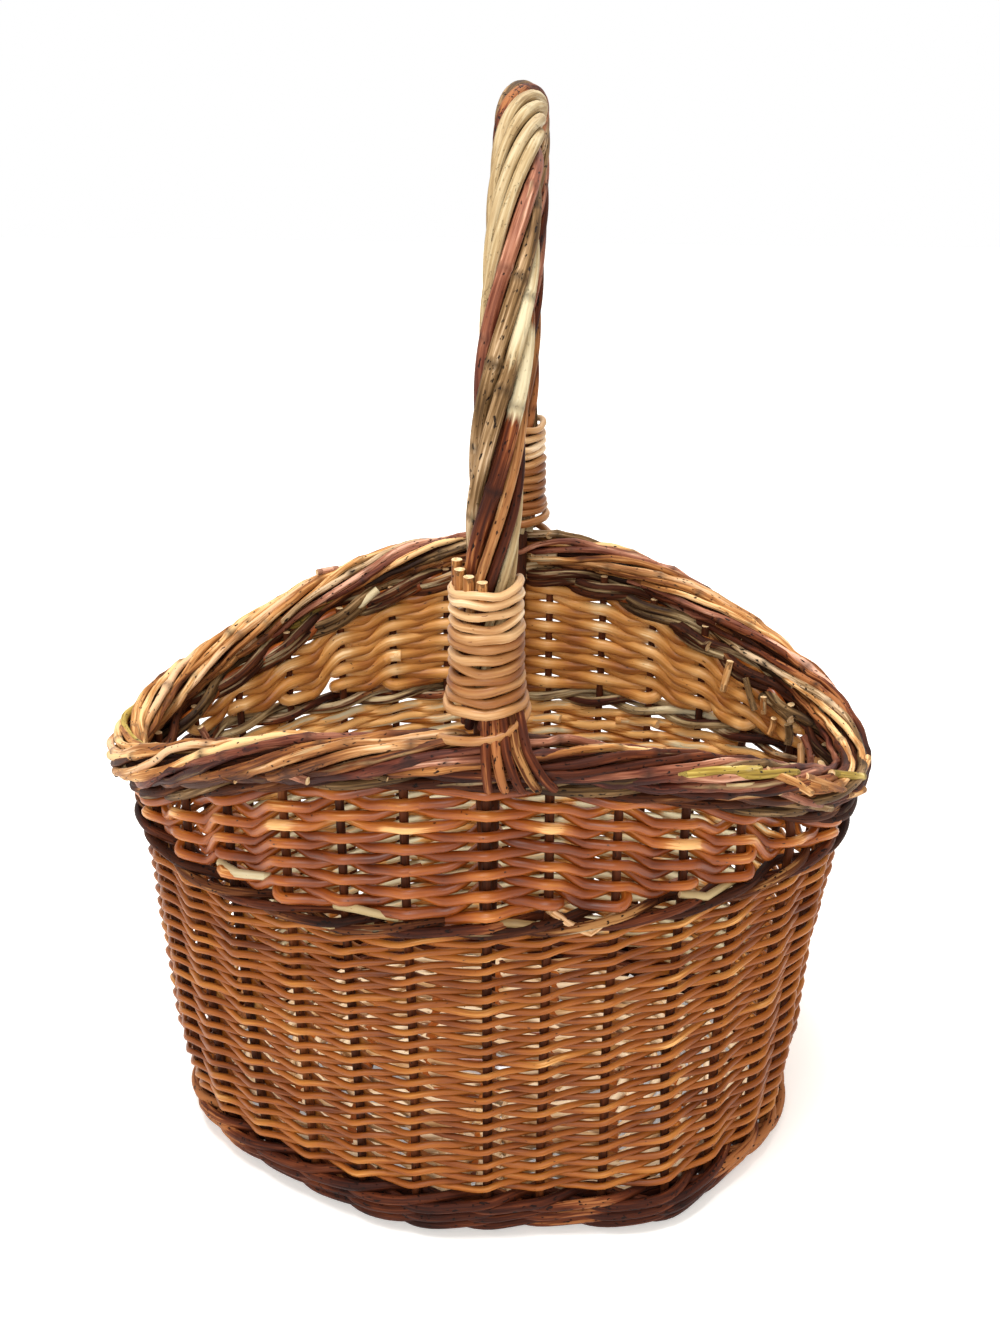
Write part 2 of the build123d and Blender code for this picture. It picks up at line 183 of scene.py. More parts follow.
def rimHeight(distance):
    centreX, _, radius, turn = spot(distance)
    x = centreX + radius * math.cos(turn)
    height = wall["rimEnd"] + wall["rimRise"] - rimArcRadius + math.sqrt(rimArcRadius**2 - x**2)
    return height + shiftAt(rimShifts, distance)


def rimSlant(distance):
    climb = rimHeight(distance + probe) - rimHeight(distance - probe)
    return math.hypot(1, climb / (2 * probe))


def wallOffset(height):
    # the line of the stakes, which lean out up to the middle wale and stand nearly upright above
    if height > wall["waistHeight"]:
        top = wall["rimEnd"] + wall["rimRise"]
        share = (height - wall["waistHeight"]) / (top - wall["waistHeight"])
        return -wall["waistInset"] + share * (wall["waistInset"] - wall["topInset"])
    share = (height - wall["turnHeight"]) / (wall["waistHeight"] - wall["turnHeight"])
    return -wall["footInset"] + share * (wall["footInset"] - wall["waistInset"])


def wallPoint(distance, out, height):
    # a place on the wall, out from the line of its stakes
    return ovalPoint(distance, wallOffset(height) + out, height)


def mix(a, b, share):
    return a + (b - a) * share


def ease(share):
    share = min(1, max(0, share))
    return share * share * (3 - 2 * share)


def wander(size, *place):
    # a smooth, repeatable unevenness. The factors on the place set how short its waves are, and
    # a rod's number in it makes each rod's own
    return size * noise.noise(Vector(place))


def atBack(point):
    # 0 in front and 1 at the back, which is packed tighter, and whose inside the lower weave paints
    # lighter, partly as sun and wear, partly as painted light on the lit far wall
    return ease((point.y - 0.018) / 0.060)


def overUnder(turn, sharpness):
    # a rod's way in and out: nearly straight between the stakes, bent where it passes one
    bend = 0.97  # at 1 it would have a corner there
    straight = math.asin(bend * math.cos(turn)) / math.asin(bend)
    return straight * abs(straight) ** sharpness


def changeOver(turn, speed):
    # two rods lie one on the other between the stakes and change places where they pass one
    return math.tanh(speed * math.sin(turn)) / math.tanh(speed)


def colour(hexValue):
    # sRGB hex to linear
    parts = [int(hexValue[i : i + 2], 16) / 255 for i in (1, 3, 5)]
    return [c / 12.92 if c <= 0.04045 else ((c + 0.055) / 1.055) ** 2.4 for c in parts] + [1]


def addNode(tree, kind, settings=(), inputs=()):
    node = tree.nodes.new("ShaderNode" + kind)
    for key, value in dict(settings).items():
        setattr(node, key, value)
    for key, value in dict(inputs).items():
        if isinstance(value, bpy.types.NodeSocket):
            tree.links.new(value, node.inputs[key])
        else:
            node.inputs[key].default_value = value
    return node


def setStops(ramp, places, shades):
    elements = ramp.color_ramp.elements
    while len(elements) < len(shades):
        elements.new(0.5)
    for element, place, hexValue in zip(elements, places, shades):
        element.position = place
        element.color = colour(hexValue)


# Willow rods. Each finish has the rod's shades from its dark to its light growth, its buds
# and lenticels and how many there are, and how its skin looks. The ones with a peelShare lose
# their skin in patches, the more the higher it is.
finishes = {
    # thin weavers, boiled in their bark and peeled: the tannin leaves them tan right through,
    # smooth, with a satin skin
    "buffFine": {
        "shades": ("#5c2908", "#824416", "#9d5a20", "#b47431", "#e3ac68"),
        "spots": "#4a230c", "spotShare": 0.27,
        "rough": 0.4, "gloss": 0.25, "bump": 0.25, "grain": 0.8, "peelShare": 0.2,
    },
    # the same in thick rods, which are redder and glossier
    "buffThick": {
        "shades": ("#5a2407", "#7d3a10", "#9b5019", "#ba6f2d", "#edb674"),
        "spots": "#3f1c0a", "spotShare": 0.27,
        "rough": 0.32, "gloss": 0.38, "bump": 0.25, "grain": 0.8,
    },
    # the same again in a golden tan, for the back: partly faded by the sun, partly painted light for the
    # lit inside of the far wall
    "buffGolden": {
        "shades": ("#6d370f", "#9a5d26", "#c08441", "#d9a566", "#f2d19f"),
        "spots": "#3f1c0a", "spotShare": 0.27,
        "rough": 0.36, "gloss": 0.3, "bump": 0.25, "grain": 0.6,
    },
    # stripped without boiling and split: the bare wood, pale, dry and a little grey
    "cream": {
        "shades": ("#745934", "#9d8459", "#b5a177", "#c8b994", "#d7ceae"),
        "spots": "#8f6334", "spotShare": 0.25,
        "rough": 0.42, "gloss": 0.29, "bump": 0.2, "grain": 0.5,
    },
    # a rod peeled late, for the lashings: tan in places and cream in others, smooth
    "lashingBuff": {
        "shades": ("#683611", "#895327", "#b07f4e", "#d7b081", "#f2d9b6"),
        "spots": "#7b4a22", "spotShare": 0.27,
        "rough": 0.38, "gloss": 0.29, "bump": 0.25, "grain": 0.6,
    },
    # dried in the bark, all from here on: matt and wrinkled lengthwise, golden ones first
    "goldenBark": {
        "shades": ("#381707", "#6b3a19", "#9f6733", "#ca945a", "#ebc28b"),
        "spots": "#2e1608", "spotShare": 0.33,
        "rough": 0.62, "gloss": 0.22, "bump": 1.0, "grain": 1.5, "peelShare": 0.32,
    },
    # a plain tan bark, less wrinkled
    "tanBark": {
        "shades": ("#3e1e0d", "#704222", "#9b6739", "#bd8d5c", "#dfb78e"),
        "spots": "#3a1d0c", "spotShare": 0.33,
        "rough": 0.58, "gloss": 0.22, "bump": 0.8, "grain": 1.38, "peelShare": 0.31,
    },
    # a young bark that has kept its yellow green
    "greenBark": {
        "shades": ("#3c2b0e", "#6f5822", "#9f8537", "#c1a857", "#dac47f"),
        "spots": "#2c1d0c", "spotShare": 0.34,
        "rough": 0.62, "gloss": 0.22, "bump": 0.9, "grain": 1.38, "peelShare": 0.30,
    },
    # a purple willow's bark, dried to a dull red
    "redBark": {
        "shades": ("#300e06", "#5a2819", "#834d36", "#ab745a", "#d8a68d"),
        "spots": "#240c06", "spotShare": 0.34,
        "rough": 0.56, "gloss": 0.22, "bump": 0.9, "grain": 1.38, "peelShare": 0.30,
    },
    # a dark bark, nearly black where it is thick
    "brownBark": {
        "shades": ("#180601", "#2c1004", "#431e0b", "#673b1d", "#a37546"),
        "spots": "#120603", "spotShare": 0.35,
        "rough": 0.7, "gloss": 0.14, "bump": 1.0, "grain": 1.38, "peelShare": 0.30,
    },
    # a dark red-brown bark, with fewer bare patches
    "maroonBark": {
        "shades": ("#1c0602", "#311005", "#491e0a", "#6b351a", "#9f653a"),
        "spots": "#1a0703", "spotShare": 0.35,
        "rough": 0.64, "gloss": 0.16, "bump": 0.9, "grain": 1.38, "peelShare": 0.22,
    },
    # a grey-brown bark with strong streaks
    "oliveBark": {
        "shades": ("#261309", "#4b351c", "#755836", "#9f815d", "#cdb18f"),
        "spots": "#1f1208", "spotShare": 0.35,
        "rough": 0.64, "gloss": 0.18, "bump": 1.0, "grain": 1.5, "peelShare": 0.31,
    },
    # the stakes' bark, dark and even, as little of it shows
    "stakeBark": {
        "shades": ("#240d03", "#3c1a08", "#55280f", "#6e3c1b", "#8f572f"),
        "spots": "#1c0c06", "spotShare": 0.32,
        "rough": 0.62, "gloss": 0.18, "bump": 0.5, "grain": 0.8,
    },
}
shadePlaces = (0.0, 0.3, 0.6, 0.85, 1.0)
# what the finishes share
skin = {
    "wrinkleDepth": 0.0006,
    "spotEdge": 0.05,  # how softly a spot ends
    "peelEdge": (-0.09, 0.05),  # where a bare patch is full and where it ends, round the peelShare
    "peelDepth": 0.7,  # a bare patch lies lower, in shares of a wrinkle's depth
    "woodPlaces": (0.0, 0.5, 1.0),
    "woodShades": ("#6c4e2c", "#ae966e", "#d4c8a6"),
}
# noise scales, per metre: along a rod and twice across it, or in Object space for the solids,
# whose sticks lie both ways
patterns = {
    # streaks 1 mm by 22 mm, as the bark's fibres run; finer ones wouldn't show
    "streaks": {"rods": (45, 900, 900), "solids": (300, 300, 45), "detail": 3.0},
    # blotches 17 mm across and 36 mm along
    "blotches": {"rods": (28, 60, 60), "solids": (60, 60, 28), "detail": 2.0},
    # buds and lenticels of 1.5 mm by 3 mm, drawn larger than most are, so that they show
    "specks": {"rods": (330, 700, 700), "solids": (500, 500, 300), "detail": 1.0},
    # patches of 4 mm by 45 mm where bark came off
    "bared": {"rods": (22, 260, 260), "detail": 3.0},
    # the solids' light and dark growth, which rods have as a value of their own
    "tone": {"solids": (12, 12, 12), "detail": 1.0},
}


def willow(name, kind="rods"):
    # a rod carries rodGrain (along, across, across) and rodLook (tone, peel, knot)
    finish = finishes[name]
    material = bpy.data.materials.new(name + ("Willow" if kind == "rods" else "WillowSolid"))
    material.use_nodes = True
    tree = material.node_tree
    shader = tree.nodes["Principled BSDF"]
    if kind == "rods":
        place = addNode(tree, "Attribute", {"attribute_name": "rodGrain"}).outputs["Vector"]
    else:
        place = addNode(tree, "TexCoord").outputs["Object"]
    noises = {}
    for key, pattern in patterns.items():
        if kind in pattern:
            spread = addNode(tree, "Mapping", {}, {"Vector": place, "Scale": pattern[kind]})
            inputs = {"Vector": spread.outputs[0], "Scale": 1.0, "Detail": pattern["detail"]}
            noises[key] = addNode(tree, "TexNoise", {}, inputs).outputs["Fac"]
    streaks = noises["streaks"]
    if kind == "rods":
        looks = addNode(tree, "Attribute", {"attribute_name": "rodLook"}).outputs["Vector"]
        tone, peel, knot = addNode(tree, "SeparateXYZ", {}, {0: looks}).outputs
    else:
        tone = noises["tone"]
    # the shade: streaks round the middle, moved by the blotches and by the rod's own tone
    shade = addNode(
        tree, "Math", {"operation": "MULTIPLY_ADD"},
        {0: streaks, 1: finish["grain"], 2: -finish["grain"] / 2 - 0.5},
    )
    shade = addNode(tree, "Math", {"operation": "ADD"}, {0: shade.outputs[0], 1: noises["blotches"]})
    shade = addNode(
        tree, "Math", {"operation": "ADD", "use_clamp": True}, {0: shade.outputs[0], 1: tone},
    )
    growth = addNode(tree, "ValToRGB", {}, {"Fac": shade.outputs[0]})
    setStops(growth, shadePlaces, finish["shades"])
    specks = addNode(tree, "ValToRGB", {}, {"Fac": noises["specks"]})
    places = (finish["spotShare"] - skin["spotEdge"], finish["spotShare"])
    setStops(specks, places, ("#ffffff", "#000000"))
    spotted = addNode(
        tree, "Mix", {"data_type": "RGBA"},
        {0: specks.outputs["Color"], 6: growth.outputs["Color"], 7: colour(finish["spots"])},
    )
    surface = spotted.outputs[2]
    height = addNode(
        tree, "Math", {"operation": "SUBTRACT"}, {0: streaks, 1: specks.outputs["Color"]},
    ).outputs[0]
    if kind == "rods" and "peelShare" in finish:
        # bark that has come off in long patches and bares the wood
        bare = addNode(tree, "Math", {"operation": "SUBTRACT"}, {0: noises["bared"], 1: peel})
        full, end = [finish["peelShare"] + edge for edge in skin["peelEdge"]]
        edge = addNode(tree, "MapRange", {}, {0: bare.outputs[0], 1: full, 2: end, 3: 1.0, 4: 0.0})
        wood = addNode(tree, "ValToRGB", {}, {"Fac": shade.outputs[0]})
        setStops(wood, skin["woodPlaces"], skin["woodShades"])
        surface = addNode(
            tree, "Mix", {"data_type": "RGBA"},
            {0: edge.outputs[0], 6: surface, 7: wood.outputs["Color"]},
        ).outputs[2]
        height = addNode(
            tree, "Math", {"operation": "MULTIPLY_ADD"},
            {0: edge.outputs[0], 1: -skin["peelDepth"], 2: height},
        ).outputs[0]
    if kind == "rods":
        # dark scars at the knots
        scar = addNode(
            tree, "Math", {"operation": "MULTIPLY", "use_clamp": True}, {0: knot, 1: streaks},
        )
        surface = addNode(
            tree, "Mix", {"data_type": "RGBA"},
            {0: scar.outputs[0], 6: surface, 7: colour(finish["spots"])},
        ).outputs[2]
    tree.links.new(surface, shader.inputs["Base Color"])
    shader.inputs["Roughness"].default_value = finish["rough"]
    shader.inputs["Specular IOR Level"].default_value = finish["gloss"]
    relief = addNode(
        tree, "Bump", {},
        {"Height": height, "Strength": finish["bump"], "Distance": skin["wrinkleDepth"]},
    )
    tree.links.new(relief.outputs[0], shader.inputs["Normal"])
    return material


def cutWood():
    # a fresh cut through a rod: pale, dull wood with a soft fleck of 1.4 mm
    material = bpy.data.materials.new("cutWillow")
    material.use_nodes = True
    tree = material.node_tree
    place = addNode(tree, "TexCoord").outputs["Object"]
    grain = addNode(tree, "TexNoise", {}, {"Vector": place, "Scale": 700.0, "Detail": 2.0})
    fleck = addNode(tree, "ValToRGB", {}, {"Fac": grain.outputs["Fac"]})
    setStops(fleck, (0.3, 0.7), ("#c99a62", "#efd5a8"))
    shader = tree.nodes["Principled BSDF"]
    tree.links.new(fleck.outputs["Color"], shader.inputs["Base Color"])
    shader.inputs["Roughness"].default_value = 0.75
    return material


materials = {name: willow(name) for name in finishes}
cutMaterial = cutWood()
print("materials made:", len(materials) + 1)

rodMesh = {
    "grainSteps": (1.7, 0.31),  # how far the grain is moved on from rod to rod, along and across
    "grainRepeat": 7,
    "mergeDistance": 1e-6,
    "smoothAngle": math.radians(60),
}


def makeRods(name, rods, roundness=2):
    # rods: dictionaries of points, radii, a finish, a tone of 0 to 1, and where a rod has them
    # peel and knot; the last three are one number or one for each point
    curve = bpy.data.curves.new(name, "CURVE")
    curve.dimensions = "3D"
    curve.bevel_depth = 1.0
    curve.bevel_resolution = roundness
    curve.use_fill_caps = True
    names = sorted({rod["finish"] for rod in rods})
    for rod in rods:
        spline = curve.splines.new("POLY")
        spline.points.add(len(rod["points"]) - 1)
        spline.points.foreach_set("co", [c for p in rod["points"] for c in (*p, 1)])
        spline.points.foreach_set("radius", rod["radii"])
    piece = bpy.data.objects.new(name, curve)
    bpy.context.scene.collection.objects.link(piece)
    for finish in names:
        curve.materials.append(materials[finish])
    curve.materials.append(cutMaterial)
    bpy.ops.object.select_all(action="DESELECT")
    piece.select_set(True)
    bpy.context.view_layer.objects.active = piece
    bpy.ops.object.convert(target="MESH")
    mesh = piece.data
    sides = 2 * roundness + 4
    grain = np.zeros((len(mesh.vertices), 3), np.float32)
    rodLook = np.zeros((len(mesh.vertices), 3), np.float32)
    look = np.full(len(mesh.vertices), len(names), np.int32)
    onward, aside = rodMesh["grainSteps"]
    # the caps come first, those of the last rod before all, each end before its start
    first = 2 * sides * len(rods)
    for number, rod in enumerate(rods):
        count = len(rod["points"])
        steps = [(b - a).length for a, b in zip(rod["points"], rod["points"][1:])]
        along = np.concatenate([[0], np.cumsum(steps)])
        angle = np.arange(sides) * 2 * np.pi / sides
        radii = np.array(rod["radii"])
        moved = aside * (number % rodMesh["grainRepeat"])
        body = slice(first, first + count * sides)
        cap = 2 * sides * (len(rods) - 1 - number)
        grain[body, 0] = np.repeat(along, sides) + onward * number
        grain[body, 1] = (np.cos(angle)[None] * radii[:, None]).ravel() + moved
        grain[body, 2] = (np.sin(angle)[None] * radii[:, None]).ravel()
        look[body] = names.index(rod["finish"])
        for column, key in enumerate(("tone", "peel", "knot")):
            values = np.broadcast_to(np.array(rod.get(key, 0.0), np.float32), count)
            rodLook[body, column] = np.repeat(values, sides)
            rodLook[cap : cap + 2 * sides, column] = np.repeat([values[-1], values[0]], sides)
        first += count * sides
    for key, values in (("rodGrain", grain), ("rodLook", rodLook)):
        layer = mesh.attributes.new(key, "FLOAT_VECTOR", "POINT")
        layer.data.foreach_set("vector", values.ravel())
    for face in mesh.polygons:
        face.material_index = look[face.vertices[0]]
    bpy.ops.object.mode_set(mode="EDIT")
    bpy.ops.mesh.select_all(action="SELECT")
    bpy.ops.mesh.remove_doubles(threshold=rodMesh["mergeDistance"])
    bpy.ops.object.mode_set(mode="OBJECT")
    bpy.ops.object.shade_smooth_by_angle(angle=rodMesh["smoothAngle"])
    piece.select_set(False)
    return piece


def finishPiece(piece, nodes):
    # nothing on the basket moves, so every piece belongs to the one body
    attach(piece, "root")
    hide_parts(*nodes)


def someTone(middle, spread, least, most):
    return min(most, max(least, random.gauss(middle, spread)))


def taper(count, butt, tip):
    return [mix(butt, tip, i / (count - 1)) for i in range(count)]


def knots(count, every):
    # where side shoots grew: the places of the swellings along a rod, by its points
    marks = [0.0] * count
    place = random.uniform(0.3, 1) * every
    while place < count - 1:
        marks[int(place)] = random.uniform(0.5, 1)
        place += random.uniform(0.55, 1.45) * every
    return marks


def tucked(points, inward, length):
    # both ends of a woven rod lie a little further inside
    ends = len(points)
    for i in range(length):
        push = inward * (1 - i / length) ** 2
        for j in (i, ends - 1 - i):
            out = Vector((points[j].x, points[j].y, 0)).normalized()
            points[j] = points[j] - out * push
    return points


# the bow of the handle, which the weaves and the border go round
bow = {
    "x": 0.0125,  # the solids' bow stands here
    "radius": 0.0055,
    "footRadius": 0.0030,  # its legs are pointed, to go down beside the stakes
    "foot": 0.120,  # to this height
    "top": 0.512,
    "ropeBottom": 0.2817,
    # its leg and its arch lean: distances along it, and how far to the right it stands there
    "lean": [
        (0, 0.0072), (0.05, 0.0080), (0.08, 0.0095), (0.1, 0.0108), (0.13, 0.0123), (0.161, 0.0145),
        (0.198, 0.0154), (0.225, 0.0153), (0.255, 0.0149), (0.3, 0.0142), (0.34, 0.0138), (0.376, 0.0131),
        (0.406, 0.0128), (0.443, 0.0108), (0.487, 0.0088), (0.52, 0.0074), (0.6, 0.0076),
    ],
    "leanSteps": (-0.016, -0.008, 0, 0.008, 0.016),  # the lean is a mean over these, so it has no corners
    "insert": 0.0075,  # how far inside the stakes its legs stand
    "insertRun": 0.05,  # and in what height they move in
    "bareTop": 0.006,  # the legs' own points begin this far below the rope
    "legStep": 0.008,
    "points": 90,  # along what the rope covers
    "tone": 0.5,
    "passWidth": 0.009,  # a weaver this near to a leg passes inside it,
    "passDepth": 0.004,  # wholly so where it lies this far inside the stakes' line
}
legY = ovalHalfWidth(bow["x"], 0) - wall["topInset"]
archHeight = bow["top"] - legY
legRun = archHeight - bow["ropeBottom"]
archRun = math.pi * legY
ropeLength = 2 * legRun + archRun


def legX(side):
    # side is below 0 in front and above 0 at the back
    return between(bow["lean"], 0 if side < 0 else ropeLength)


def legRadius(height):
    share = ease((height - bow["foot"]) / (bow["ropeBottom"] - bow["foot"]))
    return mix(bow["footRadius"], bow["radius"], share)


def legInset(height):
    return bow["insert"] * ease((bow["ropeBottom"] - height) / bow["insertRun"])


def roundLeg(x, y, height, out):
    # a rod on the inside of the wall passes inside the leg
    if out < 0 and height > bow["foot"]:
        near = math.exp(-(((x - legX(y)) / bow["passWidth"]) ** 2))
        out -= 2 * legRadius(height) * near * min(1, -out / bow["passDepth"])
    return out


def partRound(point, radius):
    # a rod that meets a leg of the bow passes beside it
    for side in (-1, 1):
        leg = Vector((legX(side), side * legY, 0))
        away = Vector((point.x, point.y, 0)) - leg
        least = bow["radius"] + radius
        if away.length < least:
            across = Vector((0, math.copysign(1, away.y), 0))
            away = (away + across * least * 0.5).normalized() * least
            return Vector((leg.x + away.x, leg.y + away.y, point.z))
    return point


# the stakes' sizes, which the weaves need too
stakes = {
    "baseOffsets": (-0.039, -0.035, -0.031, -0.027, -0.023),  # their ends under the base
    "bend": 0.006,
    "bendSteps": 4,
    "radius": 0.0023,
    "topRadius": 0.0021,
    "taperHeight": 0.26,
    "topDrop": 0.006,  # they end this far below the border's centre line
    "step": 0.009,
    "sway": 0.0008,
    "tone": (0.25, 0.65),
}

# the lower weave: pairs of thin rods that change places between the stakes
pairing = {
    "bottom": 0.0262,
    "rows": 20,
    "rowHeight": 0.0075,
    "butt": 0.00180,
    "tip": 0.00150,
    "tilt": 0.0007,  # on the outside the rods lie higher than on the inside
    "steps": 10,  # points from one stake to the next
    "overlap": 0.3,  # a rod starts this far before its stake, in stakes
    "sharpness": 0.25,
    "changeSpeed": 1.7,
    "bands": 4,
    "sway": 0.0011,  # its unevenness up and down, the same for both rods of a pair,
    "ownSway": 0.0005,  # that of each rod of its own,
    "outSway": 0.0007,  # and that in and out
    "backThicker": 0.56,  # at the back the rods are thicker by this share
    "backFlatter": 0.25,  # swing less
    "backTilt": 2.6,  # and lie higher on the inside instead
    "wornAndLit": (0.24, 0.46),  # how much bare, paler skin shows inside the back, at the top and low down: partly wear, partly painted light on the lit inside of the far wall
    "wornAndLitHeight": (0.155, 0.03),  # it changes below this height, in so much
    "wornAndLitOutside": 0.85,  # the outside has less of it by this share
    "sink": (0.11, 0.08),  # below this height, and fully by so much lower, the rows sink with the foot
    "shift": (0.11, 0.07),  # above this height they run off the level with the middle wale
    "tuck": (0.0035, 4),  # how far in a rod's ends lie, and over how many points
    "tone": (0.51, 0.09, 0.25, 0.8),  # middle, spread, least and most
    "light": (-0.12, 0.2),  # painted shade on a rod's tone, and how much painted light comes back where it swings out or in: darker where a pair crosses, lighter at the stakes
    "backLight": (0.62, 0.5),  # painted light inside the back, where the far wall is lit, and the share of it that the outside misses
    "toneWaves": 0.18,
    "buttSpread": (0.92, 1.08),
}


def pairedRods(row):
    rods = []
    lift = (pairing["butt"] + pairing["tip"]) / 2
    reach = stakes["radius"] + lift
    middle = pairing["bottom"] + (row + 0.5) * pairing["rowHeight"]
    wearAndLight = mix(*pairing["wornAndLit"], ease((pairing["wornAndLitHeight"][0] - middle) / pairing["wornAndLitHeight"][1]))
    sunk = ease((pairing["sink"][0] - middle) / pairing["sink"][1])
    shifted = ease((middle - pairing["shift"][0]) / pairing["shift"][1])
    least, more = pairing["light"]
    paintedBackLight, missed = pairing["backLight"]
    for strand in range(2):
        start = 1 + strand + 2 * random.randrange(wall["stakes"] // 2)
        count = (wall["stakes"] + 1) * pairing["steps"]
        points, shine, pale = [], [], []
        for i in range(count):
            stake = start - pairing["overlap"] + i / pairing["steps"]
            distance = stakeLine(stake)
            turn = math.pi * (stake + strand)
            x, y, _ = ovalPoint(distance, 0, 0)
            height = middle + lift * changeOver(turn, pairing["changeSpeed"])
            height += wander(pairing["sway"], x * 22, y * 22, middle * 55)
            height += wander(pairing["ownSway"], x * 60, y * 60, row * 3.1 + strand)
            wave, back = overUnder(turn, pairing["sharpness"]), atBack(Vector((x, y, 0)))
            # painted light where a rod stands out and painted shade where the pair crosses; more painted
            # light all over inside the back, where the far wall is lit, with paler bare skin there,
            # partly wear and partly painted light
            outside = ease(0.5 + wave)
            shine.append(more * abs(wave) + least + paintedBackLight * back * (1 - missed * outside))
            pale.append(back * wearAndLight * (1 - pairing["wornAndLitOutside"] * outside))
            out = reach * wave * (1 - pairing["backFlatter"] * back)
            height += pairing["tilt"] * wave * (1 - pairing["backTilt"] * back)
            height += shiftAt(waleShifts, distance) * shifted + shiftAt(footShifts, distance) * sunk
            out += wander(pairing["outSway"], x * 40, y * 40, row * 1.7)
            points.append(ovalPoint(distance, wallOffset(middle) + out, height))
        tone = someTone(*pairing["tone"])
        radii = taper(count, pairing["butt"] * random.uniform(*pairing["buttSpread"]), pairing["tip"])
        rods.append({
            "points": tucked(points, *pairing["tuck"]),
            "radii": [
                radius * (1 + pairing["backThicker"] * atBack(p)) for radius, p in zip(radii, points)
            ],
            "tone": [
                tone + light + wander(pairing["toneWaves"], p.x * 18, p.y * 18, row * 2.9 + strand)
                for light, p in zip(shine, points)
            ],
            "peel": pale,
            "finish": "buffFine",
        })
    return rods


random.seed(11)
for band in range(pairing["bands"]):
    perBand = pairing["rows"] // pairing["bands"]
    rods = [rod for row in range(band * perBand, (band + 1) * perBand) for rod in pairedRods(row)]
    finishPiece(makeRods(f"lower_weave_band_{band + 1}", rods), ["lower_weave"])
print("lower weave made")


def stakeRod(number):
    # from under the base, up the wall and into the border
    distance = stakeLine(number)
    bend, low = stakes["bend"], wall["turnHeight"]
    points = [ovalPoint(distance, offset, low) for offset in stakes["baseOffsets"]]
    for i in range(stakes["bendSteps"] + 1):
        turn = quarterTurn * i / stakes["bendSteps"]
        offset = -wall["footInset"] - bend + bend * math.sin(turn)
        points.append(ovalPoint(distance, offset, low + bend * (1 - math.cos(turn))))
    height = low + bend + stakes["step"]
    top = rimHeight(distance) - stakes["topDrop"]
    x, y, _ = ovalPoint(distance, 0, 0)
    while height < top:
        aside = wander(stakes["sway"], x * 30, y * 30, height * 12)
        points.append(wallPoint(distance + aside, 0, height))
        height += stakes["step"]
    radii = [
        mix(stakes["radius"], stakes["topRadius"], ease(p.z / stakes["taperHeight"])) for p in points
    ]
    tone = random.uniform(*stakes["tone"])
    return {"points": points, "radii": radii, "tone": tone, "finish": "stakeBark"}


random.seed(18)
rods = [stakeRod(number) for number in range(wall["stakes"])]
finishPiece(makeRods("side_stake_rods", rods), ["side_stakes"])
print("stakes made")

# the wales: three rods, each in front of two stakes and behind one. A round's lift is how much
# higher than in front it lies behind the stakes
middleWale = {
    "radius": 0.0024, "rise": 0.0026, "lift": 0, "steps": 8, "sway": 0.0010,
    "tones": (0.45, 0.7, 0.55), "finish": ("brownBark", "brownBark", "maroonBark"),
    "bare": 0.25,  # how worn the bark is at the back
    "endLight": 0,  # how much lighter the rods are at the two ends
    "drop": 0.001,  # below the height that the wall's sizes give
}
footWale = {
    "radius": 0.0026, "rise": 0.0024, "steps": 8, "sway": 0.0009,
    "tones": (0.4, 0.6, 0.5), "finish": ("maroonBark", "maroonBark", "maroonBark"),
    "bare": 0,
    "endLight": 0.6,
    # three rounds: their heights, how much of the foot's sinking each takes, and how far in
    # the two lower ones lie
    "heights": (0.0212, 0.0142, 0.0062),
    "sinks": (1, 0.6, 0),
    "insets": (None, 0.0172, 0.0200),
    "lifts": (0, 0, 0.007),  # on the inside the lowest one rises onto the base's edge
}
topWale = {
    "radius": 0.0024, "rise": 0.0026, "lift": 0, "steps": 8, "sway": 0.0010,
    "tones": (0.5, 0.35, 0.6), "finish": ("brownBark", "oliveBark", "brownBark"),
    "bare": 0.12,
    "endLight": 0,
    "drop": 0.0136,  # below the border's centre line, across the rim's slope
    "backRise": 0.0022,  # it lies closer under the border at the back
    "secondDrop": 0.0044,  # a second round fills what is left below it at the back and the ends
    "endWidth": 32,
}
# what all the wales share
waleWeave = {
    "strands": 3,
    "overlap": 0.3,  # a rod starts this far before its stake, in stakes
    "out": (0.333, 1.075, 0.258),  # its middle, its wave once and its wave twice in three stakes
    "up": (0.9, 0.1),
    "ends": (1.08, 0.88),  # the butt and the tip, in shares of the radius
    "tuck": (0.004, 4),
    "backThicker": 0.15,
    "thickWaves": 0.16,
    "toneWaves": 0.45,
    "endFrom": (0.105, 0.04),  # the ends begin this far from the middle, in so much
    "least": 1.05,  # no rod's middle lies lower than its radius times this
}


